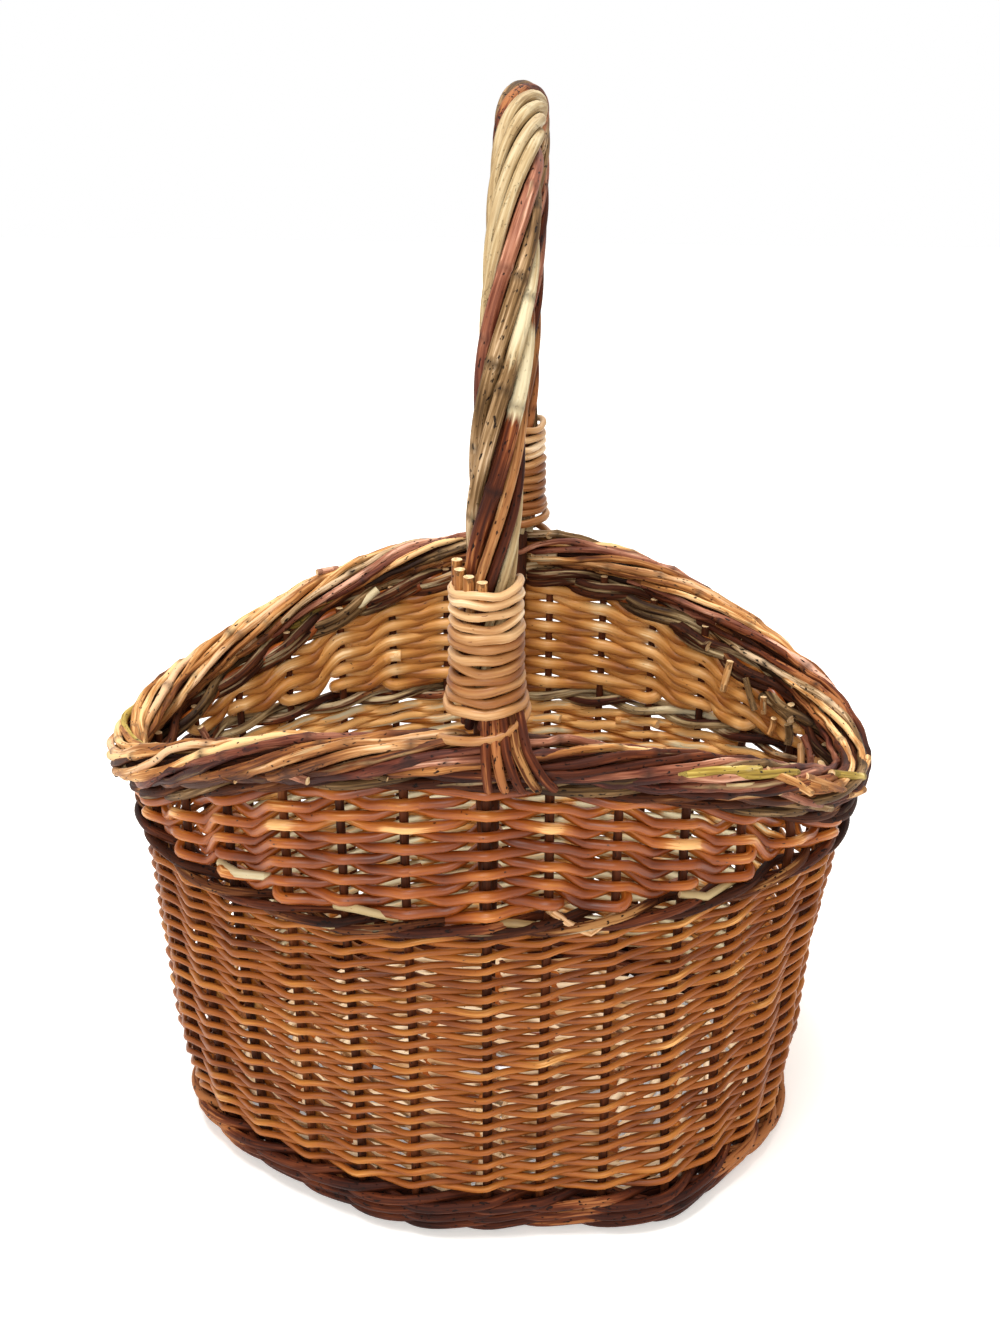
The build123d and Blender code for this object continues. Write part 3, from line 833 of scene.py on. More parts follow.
def waleRods(wale, heightAt, offsetAt):
    rods = []
    strands = waleWeave["strands"]
    inner, once, twice = waleWeave["out"]
    upOnce, upTwice = waleWeave["up"]
    endFrom, endRun = waleWeave["endFrom"]
    butt, tip = waleWeave["ends"]
    for strand in range(strands):
        count = (wall["stakes"] + 1) * wale["steps"]
        start = random.randrange(wall["stakes"] // strands) * strands + strand + 2
        points = []
        for i in range(count):
            stake = start - waleWeave["overlap"] + i / wale["steps"]
            distance = stakeLine(stake)
            # once round for three stakes: out twice as long as in, and up as it goes out
            turn = 2 * math.pi * (stake - strand - 0.5) / strands
            out = inner + once * math.cos(turn) - twice * math.cos(2 * turn)
            rise = upOnce * math.sin(turn) - upTwice * math.sin(2 * turn)
            x, y, _ = ovalPoint(distance, 0, 0)
            height = heightAt(distance) + wale["rise"] * rise + wale["lift"] * max(0, -out)
            height += wander(wale["sway"], x * 30, y * 30, strand * 5.0 + height * 40)
            offset = offsetAt(height) + out * (wall["stakeRadius"] + wale["radius"])
            offset += wander(wale["sway"], x * 35, y * 35, strand * 7.0 + 2)
            lowest = wale["radius"] * waleWeave["least"]
            points.append(ovalPoint(distance, offset, max(height, lowest)))
        radii = taper(count, wale["radius"] * butt, wale["radius"] * tip)
        tone = wale["tones"][strand]
        rods.append({
            "points": tucked(points, *waleWeave["tuck"]),
            "radii": [
                r * (
                    1 + waleWeave["backThicker"] * atBack(p)
                    + wander(waleWeave["thickWaves"], i * 0.11, strand, 3)
                )
                for i, (r, p) in enumerate(zip(radii, points))
            ],
            "tone": [
                tone + wander(waleWeave["toneWaves"], p.x * 25, p.y * 25, strand * 9.0)
                + wale["endLight"] * ease((abs(p.x) - endFrom) / endRun)
                for p in points
            ],
            "peel": [wale["bare"] * atBack(p) for p in points],
            "finish": wale["finish"][strand],
        })
    return rods


def middleWaleHeight(distance):
    return wall["waistHeight"] - middleWale["drop"] + shiftAt(waleShifts, distance)


def footWaleRound(number):
    low, sink, inset, lift = [footWale[key][number] for key in ("heights", "sinks", "insets", "lifts")]

    def heightAt(distance):
        return low + sink * shiftAt(footShifts, distance)

    def offsetAt(height):
        return wallOffset(height) if inset is None else -inset

    return waleRods(dict(footWale, lift=lift), heightAt, offsetAt)


def topWaleHeight(distance):
    drop = topWale["drop"] - topWale["backRise"] * ease(2 * outward(distance).y)
    return rimHeight(distance) - drop * rimSlant(distance)


def lowWaleHeight(distance):
    turn = spot(distance)[3]
    ends = [bump(turn, middle, topWale["endWidth"]) for middle in (180, 0)]
    return topWaleHeight(distance) - topWale["secondDrop"] * max(atBack(ovalPoint(distance, 0, 0)), *ends)


loose = {"steps": 6, "tip": 0.85}  # points from one station to the next, and what is left at the tip
# Ends and joins of rods that lie loose on the middle wale: radius, finish, tone and stations,
# which are distance round the wall, height, and how far outside the stakes' line
looseRods = (
    (0.0023, "cream", 0.75, ((0.786, 0.187, 0.001), (0.800, 0.188, 0.0045), (0.817, 0.190, 0.001))),
    (0.0019, "cream", 0.3, (
        (0.819, 0.178, 0.002), (0.830, 0.175, 0.005), (0.852, 0.175, 0.005), (0.868, 0.177, 0.001),
    )),
    (0.0021, "cream", 0.55, ((0.850, 0.184, 0.001), (0.862, 0.187, 0.005), (0.880, 0.183, 0.002))),
    (0.0021, "cream", 0.3, ((0.008, 0.184, 0.001), (0.020, 0.186, 0.005), (0.043, 0.180, 0.002))),
    (0.0020, "tanBark", 0.85, (
        (0.034, 0.191, 0.002), (0.043, 0.184, 0.005), (0.052, 0.179, 0.0055), (0.066, 0.187, 0.002),
    )),
    (0.0021, "cream", 0.45, ((0.094, 0.190, 0.002), (0.106, 0.187, 0.005), (0.124, 0.189, 0.001))),
)


def looseRod(radius, finish, tone, stations):
    points = []
    for start, stop in zip(stations, stations[1:]):
        for i in range(loose["steps"]):
            distance, height, out = [mix(a, b, i / loose["steps"]) for a, b in zip(start, stop)]
            points.append(wallPoint(distance, out, height))
    distance, height, out = stations[-1]
    points.append(wallPoint(distance, out, height))
    radii = taper(len(points), radius, radius * loose["tip"])
    return {"points": points, "radii": radii, "tone": tone, "finish": finish}


random.seed(12)
rods = waleRods(middleWale, middleWaleHeight, wallOffset)
rods += [looseRod(*look) for look in looseRods]
finishPiece(makeRods("middle_wale_rods", rods), ["middle_wale"])
rods = footWaleRound(0) + footWaleRound(1) + footWaleRound(2)
finishPiece(makeRods("foot_wale_rods", rods), ["foot_wale"])
rods = waleRods(topWale, topWaleHeight, wallOffset) + waleRods(topWale, lowWaleHeight, wallOffset)
nodes = ["top_wale_outer_rod", "top_wale_inner_rod"]
finishPiece(makeRods("top_wale_rods", rods), nodes)
print("wales made")

# the packing: one thick rod to and fro on each side, its rows longer as they climb
packing = {
    "rows": 13,
    "rowHeight": 0.0050,
    "bottom": 0.1864,
    "drop": 0.0172,  # top of the packing below the border's centre line
    "backRise": 2.7,  # at the back it rises by this many times what the top wale rises
    "butt": 0.0027,
    "tip": 0.0023,
    "steps": 10,
    "sharpness": 0.35,
    "rodLength": 1.15,
    "reachStakes": 8,
    "backThicker": 0.30,
    "backFlatter": 0.32,
    "climb": 1.7,  # between stakes of different height a rod has climbed after 1 / 1.7 of the way
    "loopSteps": 8,
    # painted light on the loops, where a rod turns round its last stake and stands out
    "loopLight": 0.8,
    "tuck": (0.002, 3),
    "tone": (0.57, 0.12, 0.3, 0.85),
    "light": (-0.22, 0.4),  # painted shade on a rod's tone, and how much painted light comes back where it swings out or in: darker between the stakes, lighter at them
    "toneWaves": 0.28,
    "buttSpread": (0.93, 1.06),
    "tipSpread": (0.95, 1.1),
    "lengthSpread": (0.8, 1.2),
    "leastRest": 40,  # a rest of fewer points isn't worth a rod of its own
    "overlap": 4,
    "squeeze": 0.8,  # the rods are pressed together: it passes a stake by this share of its butt
    "sway": 0.0008,
    "outSway": 0.0012,
}
packingReach = wall["stakeRadius"] + packing["butt"] * packing["squeeze"]
backStake = wall["stakes"] // 2


def packingRoom(number):
    distance = stakeLine(number)
    rise = packing["backRise"] * topWale["backRise"] * ease(2 * outward(distance).y)
    top = rimHeight(distance) - (packing["drop"] - rise) * rimSlant(distance)
    return top - packing["bottom"] - shiftAt(waleShifts, distance)


def firstRow(number, side):
    # the first row that passes a stake: even where rows turn back on the right, odd on the left
    missing = packing["rows"] - packingRoom(number) / packing["rowHeight"]
    if number >= side:
        return min(packing["rows"] - 1, 2 * max(0, round(missing / 2)))
    return min(packing["rows"] - 1, 2 * max(0, round((missing - 1) / 2)) + 1)


def rowHeightAt(number, row, side):
    rows = packing["rows"] - firstRow(number, side)
    level = (row - firstRow(number, side) + 0.5) / rows
    return packing["bottom"] + shiftAt(waleShifts, stakeLine(number)) + level * packingRoom(number)


def backwards(distance):
    # the swing that is left to a rod at the back, where the rows lie flatter
    return 1 - packing["backFlatter"] * atBack(ovalPoint(distance, 0, 0))


def packingPoint(number, share, row, side, ahead):
    # share 0 to 1 of the way from a stake to the next one ahead (1) or behind (-1)
    sign = 1 if (number + row) % 2 == 0 else -1
    wave = overUnder(math.pi * share, packing["sharpness"])
    other = number + ahead
    if abs(other - side) > abs(number - side):
        moved = min(1, share * packing["climb"])
    else:
        moved = max(0, 1 - (1 - share) * packing["climb"])
    height = mix(rowHeightAt(number, row, side), rowHeightAt(other, row, side), ease(moved))
    distance = stakeLine(number + ahead * share)
    x, y, _ = ovalPoint(distance, 0, 0)
    height += wander(packing["sway"], x * 45, y * 45, height * 50)
    out = sign * packingReach * wave * backwards(distance)
    out += wander(packing["outSway"], x * 40, y * 40, row * 2.3)
    # the second value is the painted light: lighter where the rod swings out or in at a stake, darker
    # between
    return wallPoint(distance, roundLeg(x, y, height, out), height), abs(wave)


def turnBack(number, row, side, ahead):
    # the rod goes round the last stake and comes back one row higher
    sign = 1 if (number + row) % 2 == 0 else -1
    low, high = rowHeightAt(number, row, side), rowHeightAt(number, row + 1, side)
    points = []
    for i in range(1, packing["loopSteps"]):
        turn = math.pi * i / packing["loopSteps"]
        distance = stakeLine(number) + ahead * packingReach * math.sin(turn)
        out = sign * packingReach * math.cos(turn) * backwards(distance)
        height = mix(low, high, ease(i / packing["loopSteps"]))
        points.append((wallPoint(distance, out, height), packing["loopLight"]))
    return points


def packingPath(side):
    # side: the stake in the middle of the side. The points come with how much painted light the rod gets
    # there
    span = range(side - packing["reachStakes"], side + packing["reachStakes"] + 1)
    rows = range(packing["rows"] - 1)
    last = {}
    for row in rows:
        passed = [n for n in span if (n >= side) == (row % 2 == 0) and firstRow(n, side) <= row]
        last[row] = max(passed) if row % 2 == 0 else min(passed)
    number = side - 1
    points = []
    for row in rows:
        ahead = 1 if row % 2 == 0 else -1
        while number != last[row]:
            for i in range(packing["steps"]):
                points.append(packingPoint(number, i / packing["steps"], row, side, ahead))
            number += ahead
        points.append(packingPoint(number, 0, row, side, ahead))
        if row < rows[-1]:
            points += turnBack(number, row, side, ahead)
    return points


def cutToRods(points, finish):
    # a long way is woven with several rods, each about as long as a willow rod is
    least, more = packing["light"]
    rods = []
    while points:
        length = random.uniform(*packing["lengthSpread"]) * packing["rodLength"]
        run, stop = 0, 1
        while stop < len(points) and run < length:
            run += (points[stop][0] - points[stop - 1][0]).length
            stop += 1
        if len(points) - stop < packing["leastRest"]:
            stop = len(points)
        part = [p.copy() for p, _ in points[:stop]]
        tone = someTone(*packing["tone"])
        butt = packing["butt"] * random.uniform(*packing["buttSpread"])
        radii = taper(len(part), butt, packing["tip"] * random.uniform(*packing["tipSpread"]))
        part = tucked(part, *packing["tuck"])
        rods.append({
            "points": part,
            "radii": [
                radius * (1 + packing["backThicker"] * atBack(p)) for p, radius in zip(part, radii)
            ],
            # painted shade between the stakes and painted light where the rod swings out or in or turns
            # back
            "tone": [
                tone + least + more * light + wander(packing["toneWaves"], p.x * 16, p.y * 16, p.z * 160)
                for p, (_, light) in zip(part, points)
            ],
            "finish": finish,
        })
        points = points[stop - packing["overlap"] :] if stop < len(points) else []
    return rods


def topRound():
    # the last row goes all the way round
    points = []
    for i in range((wall["stakes"] + 1) * packing["steps"]):
        stake = backStake + i / packing["steps"]
        number = math.floor(stake)
        heights = []
        for n in (number, number + 1):
            near = n % wall["stakes"]
            # the middle of the side that this stake belongs to
            side = backStake * round(near / backStake)
            heights.append(rowHeightAt(near, packing["rows"] - 1, side))
        wave = overUnder(math.pi * stake, packing["sharpness"])
        distance = stakeLine(stake)
        out = packingReach * wave * backwards(distance)
        # with the painted light: lighter where the rod swings out or in at a stake
        points.append((wallPoint(distance, out, mix(*heights, ease(stake - number))), abs(wave)))
    return points


random.seed(13)
rods = cutToRods(packingPath(0), "buffThick")
finishPiece(makeRods("front_packing_rods", rods, 3), ["front_packing"])
rods = cutToRods(packingPath(backStake), "buffGolden") + cutToRods(topRound(), "buffThick")
finishPiece(makeRods("back_packing_rods", rods, 3), ["back_packing"])
print("packing made")

# the border: the stake ends laid along the rim, wound like a rope
border = {
    "reach": 0.0080,  # from the border's centre line to the middle of a rod
    "rods": 52,
    "radius": 0.0025,
    "tip": 0.0015,
    "lay": 0.228,  # length of one full turn
    "lengths": (0.21, 0.31),
    "start": math.radians(-150),  # 0 outside, 90 degrees on top
    "step": 0.004,
    "startSpread": 0.006,
    "buttSpread": (0.88, 1.1),
    "dive": (0.003, 0.002),  # how far its first and last eighth lie further in, between the others
    "knotSpacing": 0.055,
    "knotSwell": 0.34,
    "knotScar": 1.5,
    "tone": (0.36, 0.15, 0.08, 0.8),
    # how uneven a rod is and how many waves that has in a metre: in its reach twice over, round
    # the border, in thickness and in tone
    "reachWaves": (0.0024, 34),
    "shortWaves": (0.0013, 95),
    "turnWaves": (0.5, 20),
    "thickWaves": (0.3, 60),
    "toneWaves": (0.75, 24),
    "topLight": 0.24,  # painted light on top and painted shade below
    # where its rods are lighter: direction from the right end, width, and by how much
    "lights": ((180, 50, 0.24), (90, 50, 0.22), (28, 28, 0.28), (-120, 30, -0.08)),
}
# the rods' barks, each by where it starts, from the middle of the front
borderBarks = (
    "red maroon golden olive maroon red golden tan golden red golden olive "
    "golden red olive golden tan golden golden tan golden green golden tan "
    "golden tan golden red golden tan golden red golden maroon red olive"
).split()
bit = {"steps": 4, "tip": 0.9}  # points from one station to the next, and what is left at the tip
# Short rods, cut ends and flakes on the border: radius, finish, tone and stations, which are
# distance along the rim, degrees round it (0 outside, 90 on top, 180 inside) and how far from
# its middle
borderBits = (
    (0.0022, "greenBark", 0.72, (
        (0.082, 12, 0.0078), (0.096, 30, 0.0094), (0.110, 44, 0.0096), (0.121, 55, 0.0082),
    )),
    (0.0020, "greenBark", 0.55, (
        (0.104, 26, 0.0082), (0.119, 34, 0.0097), (0.132, 48, 0.0094), (0.143, 60, 0.0080),
    )),
    (0.0021, "goldenBark", 0.75, ((0.124, 50, 0.0088), (0.139, 22, 0.0098), (0.149, 2, 0.0092))),
    (0.0022, "tanBark", 0.6, ((0.146, 44, 0.0088), (0.158, 24, 0.0099), (0.170, 6, 0.0094))),
    (0.0019, "redBark", 0.65, ((0.132, -6, 0.0088), (0.148, -26, 0.0099), (0.160, -40, 0.0092))),
    (0.0021, "greenBark", 0.6, ((0.166, 62, 0.0084), (0.180, 40, 0.0098), (0.192, 22, 0.0094))),
    (0.0010, "cream", 0.6, ((0.104, -4, 0.0092), (0.111, 4, 0.0101), (0.119, 10, 0.0088))),
    (0.0021, "redBark", 0.7, ((0.834, -40, 0.0070), (0.846, -46, 0.0112))),
    (0.0014, "brownBark", 0.4, ((0.726, -35, 0.0080), (0.718, -48, 0.0108))),
    (0.0022, "goldenBark", 0.7, ((0.178, -20, 0.0075), (0.191, -12, 0.0102))),
    (0.0021, "oliveBark", 0.8, ((0.156, -60, 0.0080), (0.169, -52, 0.0104))),
    (0.0020, "goldenBark", 0.9, ((0.196, 30, 0.0075), (0.210, 38, 0.0100))),
    (0.0022, "goldenBark", 0.6, ((0.140, 30, 0.0080), (0.156, 14, 0.0100))),
    (0.0013, "oliveBark", 0.6, ((0.870, -38, 0.0080), (0.880, -46, 0.0106))),
    (0.0013, "brownBark", 0.7, ((0.800, -30, 0.0080), (0.811, -42, 0.0106))),
    (0.0019, "redBark", 0.9, ((0.545, 76, 0.0085), (0.556, 88, 0.0125))),
    (0.0024, "cream", 0.8, ((0.530, 222, 0.0120), (0.546, 234, 0.0170))),
)
# stake ends that were clipped off inside the wall, under the border at the two ends
clippedEnds = {
    # from and to which distance along the rim they stand, and how many they are
    "right": (0.205, 0.320, 12),
    "left": (0.640, 0.720, 5),
    "radius": 0.0020,
    "length": 0.015,
    "inside": 0.007,  # the stakes' line is this far outside of them
    "spread": 0.18,  # they lean in by this share of their length
    "drop": (0.009, 0.024),  # below the border's centre line
    "unevenPlace": 0.6,  # in shares of the room that each has
    "slant": (-1.2, 0.4),
    "lengthSpread": (0.6, 1.2),
    "radiusSpread": (0.8, 1.15),
    "tone": (0.5, 0.9),
    "steps": 4,
    "finishes": ("goldenBark", "tanBark", "redBark", "oliveBark"),
}
# the stake ends inside the border, as three loose rods
borderCore = {
    "rods": 3,
    "points": 186,
    "step": 0.005,
    "apart": 0.3,  # distance along the rim from where one begins to the next
    "reach": 0.0024,
    "apartTurn": 2.1,  # and how far round the border, in radians
    "twist": 25,  # radians in each metre
    "butt": 0.0026,
    "tip": 0.0022,
    "tone": 0.4,
}


def rimFrame(distance):
    # the border's centre line, the way out from it and the way up
    out = outward(distance)
    ahead = ovalPoint(distance + probe, 0, rimHeight(distance + probe))
    behind = ovalPoint(distance - probe, 0, rimHeight(distance - probe))
    above = out.cross(ahead - behind).normalized()
    return ovalPoint(distance, 0, rimHeight(distance)), out, above


def rimPoint(distance, turn, reach):
    middle, out, above = rimFrame(distance)
    return middle + (out * math.cos(turn) + above * math.sin(turn)) * reach


def borderRod(number):
    names = ("reachWaves", "shortWaves", "turnWaves", "thickWaves", "toneWaves")
    reachWaves, shortWaves, turnWaves, thickWaves, toneWaves = [border[name] for name in names]
    spread = border["startSpread"]
    start = number * roundLength / border["rods"] + random.uniform(-spread, spread)
    length = random.uniform(*border["lengths"])
    count = round(length / border["step"]) + 1
    butt = border["radius"] * random.uniform(*border["buttSpread"])
    tone = someTone(*border["tone"])
    points, radii, tones = [], [], []
    for i in range(count):
        share = i / (count - 1)
        distance = start + share * length
        turn = border["start"] + 2 * math.pi * share * length / border["lay"]
        radius = mix(butt, border["tip"], share)
        first, last = [1 - ease(part * 8) for part in (share, 1 - share)]
        reach = border["reach"] - border["dive"][0] * first - border["dive"][1] * last
        reach += wander(reachWaves[0], distance * reachWaves[1], number * 1.3, 0)
        reach += wander(shortWaves[0], distance * shortWaves[1], number * 2.3, 11)
        turn += wander(turnWaves[0], distance * turnWaves[1], number * 2.1, 4)
        side = spot(distance)[3]
        # painted light on the rods' tops and painted shade below them
        light = border["topLight"] * math.sin(turn)
        light += sum(more * bump(side, middle, width) for middle, width, more in border["lights"])
        light += wander(toneWaves[0], distance * toneWaves[1], number * 3.3, 6)
        tones.append(tone + light)
        points.append(partRound(rimPoint(distance, turn, reach), radius))
        thicker = wander(thickWaves[0], distance * thickWaves[1], number * 1.9, 8)
        radii.append(radius * (1 + thicker))
    marks = knots(count, border["knotSpacing"] / border["step"])
    return {
        "points": points,
        "radii": [radius * (1 + border["knotSwell"] * mark) for radius, mark in zip(radii, marks)],
        "tone": tones,
        "knot": [border["knotScar"] * mark for mark in marks],
        "finish": borderBarks[number * len(borderBarks) // border["rods"]] + "Bark",
    }


def borderBit(radius, finish, tone, stations):
    points = []
    for start, stop in zip(stations, stations[1:]):
        for i in range(bit["steps"] + 1):
            distance, angle, reach = [mix(a, b, i / bit["steps"]) for a, b in zip(start, stop)]
            if not points or i:
                points.append(rimPoint(distance, math.radians(angle), reach))
    radii = taper(len(points), radius, radius * bit["tip"])
    return {"points": points, "radii": radii, "tone": tone, "finish": finish}


def clippedEnd(distance):
    slant = random.uniform(*clippedEnds["slant"])
    length = clippedEnds["length"] * random.uniform(*clippedEnds["lengthSpread"])
    height = rimHeight(distance) - random.uniform(*clippedEnds["drop"])
    inside = wallOffset(height) - clippedEnds["inside"]
    points = []
    for i in range(clippedEnds["steps"] + 1):
        down = length * i / clippedEnds["steps"]
        offset = inside - clippedEnds["spread"] * down
        points.append(ovalPoint(distance + slant * down, offset, height - down))
    radius = clippedEnds["radius"] * random.uniform(*clippedEnds["radiusSpread"])
    finish = random.choice(clippedEnds["finishes"])
    tone = random.uniform(*clippedEnds["tone"])
    return {"points": points, "radii": [radius] * len(points), "tone": tone, "finish": finish}


def coreRod(number):
    points = []
    for i in range(borderCore["points"]):
        distance = number * borderCore["apart"] + i * borderCore["step"]
        turn = number * borderCore["apartTurn"] + distance * borderCore["twist"]
        point = rimPoint(distance, turn, borderCore["reach"])
        points.append(partRound(point, borderCore["reach"]))
    radii = taper(len(points), borderCore["butt"], borderCore["tip"])
    return {"points": points, "radii": radii, "tone": borderCore["tone"], "finish": "brownBark"}


random.seed(14)
rods = [borderRod(number) for number in range(border["rods"])]
rods += [borderBit(*look) for look in borderBits]
for side in ("right", "left"):
    start, stop, count = clippedEnds[side]
    for i in range(count):
        place = i + random.random() * clippedEnds["unevenPlace"]
        rods.append(clippedEnd(mix(start, stop, place / count)))
nodes = [f"border_rod_{number}" for number in range(1, 8)]
finishPiece(makeRods("border_rods", rods, 4), nodes)
rods = [coreRod(number) for number in range(borderCore["rods"])]
finishPiece(makeRods("border_core_rods", rods), ["border_core"])
print("border made")

# the handle: a bow with eight rods wound round it
rope = {
    "outer": 0.0106,  # from the bow's middle to the rope's outside
    "legRate": 1.90,  # degrees of twist in each millimetre of a leg
    "archRate": 2.42,  # and of the arch
    "archStart": (0.225, 0.04),  # the twist tightens from here, in so much length
    "frontRun": 0.1618,  # the olive rod crosses the middle of the outer face here
    "step": 0.003,
    "thinner": 0.89,
    "knotSpacing": 0.034,
    "knotSwell": 0.16,
    "knotScar": 1.4,
    "peelEnd": 0.045,  # length in which a peeled run begins and ends
    "toneChange": (0.12, 0.09),  # from here, in so much length, to the tone higher up
    # how uneven a rod is and how many waves that has in a metre: round the bow, in thickness, in
    # its reach and in tone
    "turnWaves": (0.08, 14),
    "thickWaves": (0.14, 30),
    "reachWaves": (0.0008, 25),
    "toneWaves": (0.55, 34),
}
# Four rods were pushed in at the front and four at the back, so each is thickest there.
# Places round the bow in degrees and radii, at the front and at the back. Then the finish,
# tone low down at the front and high up, the runs between which the bark is peeled off, and
# how knotty it is.
ropeLooks = (
    {"angles": (162, 120), "radii": (0.0022, 0.0036), "finish": "tanBark",
     "tones": (0.62, 0.48), "peeled": (0.170, 0.400), "rough": 0.3},
    {"angles": (193, 172), "radii": (0.0021, 0.0036), "finish": "maroonBark",
     "tones": (0.5, 0.52), "peeled": (0.190, 0.380), "rough": 0.2},
    {"angles": (224, 226), "radii": (0.0021, 0.0035), "finish": "redBark",
     "tones": (0.4, 0.5), "peeled": (0.02, 0.390), "rough": 0.0},
    {"angles": (256, 276), "radii": (0.0022, 0.0036), "finish": "maroonBark",
     "tones": (0.4, 0.55), "peeled": (0.02, 0.380), "rough": 0.0},
    {"angles": (305, 322), "radii": (0.0038, 0.0024), "finish": "redBark",
     "tones": (0.20, 0.62), "peeled": (0.6, 0.7), "rough": 0.7},
    {"angles": (360, 360), "radii": (0.0038, 0.0022), "finish": "oliveBark",
     "tones": (0.60, 0.68), "peeled": (0.6, 0.7), "rough": 1.0},
    {"angles": (417, 398), "radii": (0.0037, 0.0023), "finish": "oliveBark",
     "tones": (0.70, 0.64), "peeled": (0.158, 0.215), "rough": 0.9},
    {"angles": (475, 436), "radii": (0.0037, 0.0024), "finish": "maroonBark",
     "tones": (0.70, 0.90), "peeled": (0.133, 0.155), "rough": 1.0},
)


def twistRate(run):
    # radians in each metre
    start, length = rope["archStart"]
    rest = min(run, ropeLength - run)
    return mix(rope["legRate"], rope["archRate"], ease((rest - start) / length)) * math.pi / 0.180


def bowFrame(run):
    # the bow's centre line, and the way out from it
    x = sum(between(bow["lean"], run + step) for step in bow["leanSteps"]) / len(bow["leanSteps"])
    if run < legRun:
        return Vector((x, -legY, bow["ropeBottom"] + run)), Vector((0, -1, 0))
    if run > legRun + archRun:
        return Vector((x, legY, bow["ropeBottom"] + ropeLength - run)), Vector((0, 1, 0))
    swing = (run - legRun) / legY
    out = Vector((0, -math.cos(swing), math.sin(swing)))
    return Vector((x, 0, archHeight)) + out * legY, out


def ropeRods():
    count = round(ropeLength / rope["step"]) + 1
    runs = [ropeLength * i / (count - 1) for i in range(count)]
    twist = [0.0]
    for a, b in zip(runs, runs[1:]):
        twist.append(twist[-1] + twistRate((a + b) / 2) * (b - a))
    front = np.interp(rope["frontRun"], runs, twist)
    names = ("turnWaves", "thickWaves", "reachWaves", "toneWaves")
    turnWaves, thickWaves, reachWaves, toneWaves = [rope[name] for name in names]
    changeFrom, changeRun = rope["toneChange"]
    every = rope["knotSpacing"] / rope["step"]
    rods = []
    for number, look in enumerate(ropeLooks):
        points, radii, tones, peels = [], [], [], []
        marks = [rope["knotScar"] * look["rough"] * mark for mark in knots(count, every)]
        for run, turned, mark in zip(runs, twist, marks):
            middle, out = bowFrame(run)
            share = run / ropeLength
            turn = turned - front + math.radians(mix(*look["angles"], share))
            turn += wander(turnWaves[0], run * turnWaves[1], number * 3.7, 1)
            thicker = wander(thickWaves[0], run * thickWaves[1], number * 1.7, 9)
            radius = mix(*look["radii"], share) * (rope["thinner"] + thicker + rope["knotSwell"] * mark)
            further = wander(reachWaves[0], run * reachWaves[1], number * 2.9, 5)
            reach = rope["outer"] - radius + further
            points.append(middle + (out * math.cos(turn) + Vector((1, 0, 0)) * math.sin(turn)) * reach)
            radii.append(radius)
            tone = mix(*look["tones"], ease((run - changeFrom) / changeRun))
            tones.append(tone + wander(toneWaves[0] * look["rough"], run * toneWaves[1], number * 5.1, 3))
            start, stop = look["peeled"]
            begun = ease((run - start) / rope["peelEnd"] + 0.5)
            peels.append(begun * ease((stop - run) / rope["peelEnd"] + 0.5))
        rods.append({
            "points": points, "radii": radii, "tone": tones, "knot": marks, "peel": peels,
            "finish": look["finish"],
        })
    return rods


def bowRod():
    count = bow["points"]
    points = [bowFrame(ropeLength * i / (count - 1))[0] for i in range(count)]
    radii = [bow["radius"]] * count
    for side in (-1, 1):
        height = bow["ropeBottom"] - bow["bareTop"]
        leg, sizes = [], []
        while height > bow["foot"]:
            y = legY - legInset(height) + wallOffset(height) + wall["topInset"]
            leg.append(Vector((legX(side), side * y, height)))
            sizes.append(legRadius(height))
            height -= bow["legStep"]
        if side < 0:
            points, radii = leg[::-1] + points, sizes[::-1] + radii
        else:
            points, radii = points + leg, radii + sizes
    return {"points": points, "radii": radii, "tone": bow["tone"], "finish": "stakeBark"}


random.seed(15)
nodes = [f"handle_rope_rod_{number}" for number in range(1, len(ropeLooks) + 1)]
finishPiece(makeRods("handle_rope_rods", ropeRods(), 4), nodes)
finishPiece(makeRods("handle_bow_rod", [bowRod()], 4), ["handle_bow"])
print("handle made")

# the lashings: one rod coiled round each leg, loose and wide at the bottom
lashing = {
    "radius": 0.0022,
    "topThinner": (0.8, 8.6),  # it is thinner by this factor above so many turns
    "bottom": 0.2865,
    "pitch": 0.0046,
    "turns": 12,
    "over": 0.55,  # and so much of a turn more
    "start": math.pi * 1.08,  # from the left of the leg, seen from outside
    "reach": 0.0136,
    "flare": (0.0034, 4),  # the lowest four turns stand out more
    "steps": 28,
    "sweep": (0.011, 0.5),  # the first half turn comes up from below
    "startOut": (0.002, 0.35),  # and the first third of a turn from further out
    "sway": (0.0006, 0.0022),  # out and up
    "thickWaves": 0.16,
    "tone": 0.38,
    # the top turns and the first one are lighter: by how much, and from where, in so many turns
    "topLight": (0.40, 7.6, 1.5),
    "firstLight": (0.26, 1.4),
    "toneWaves": 0.6,
}


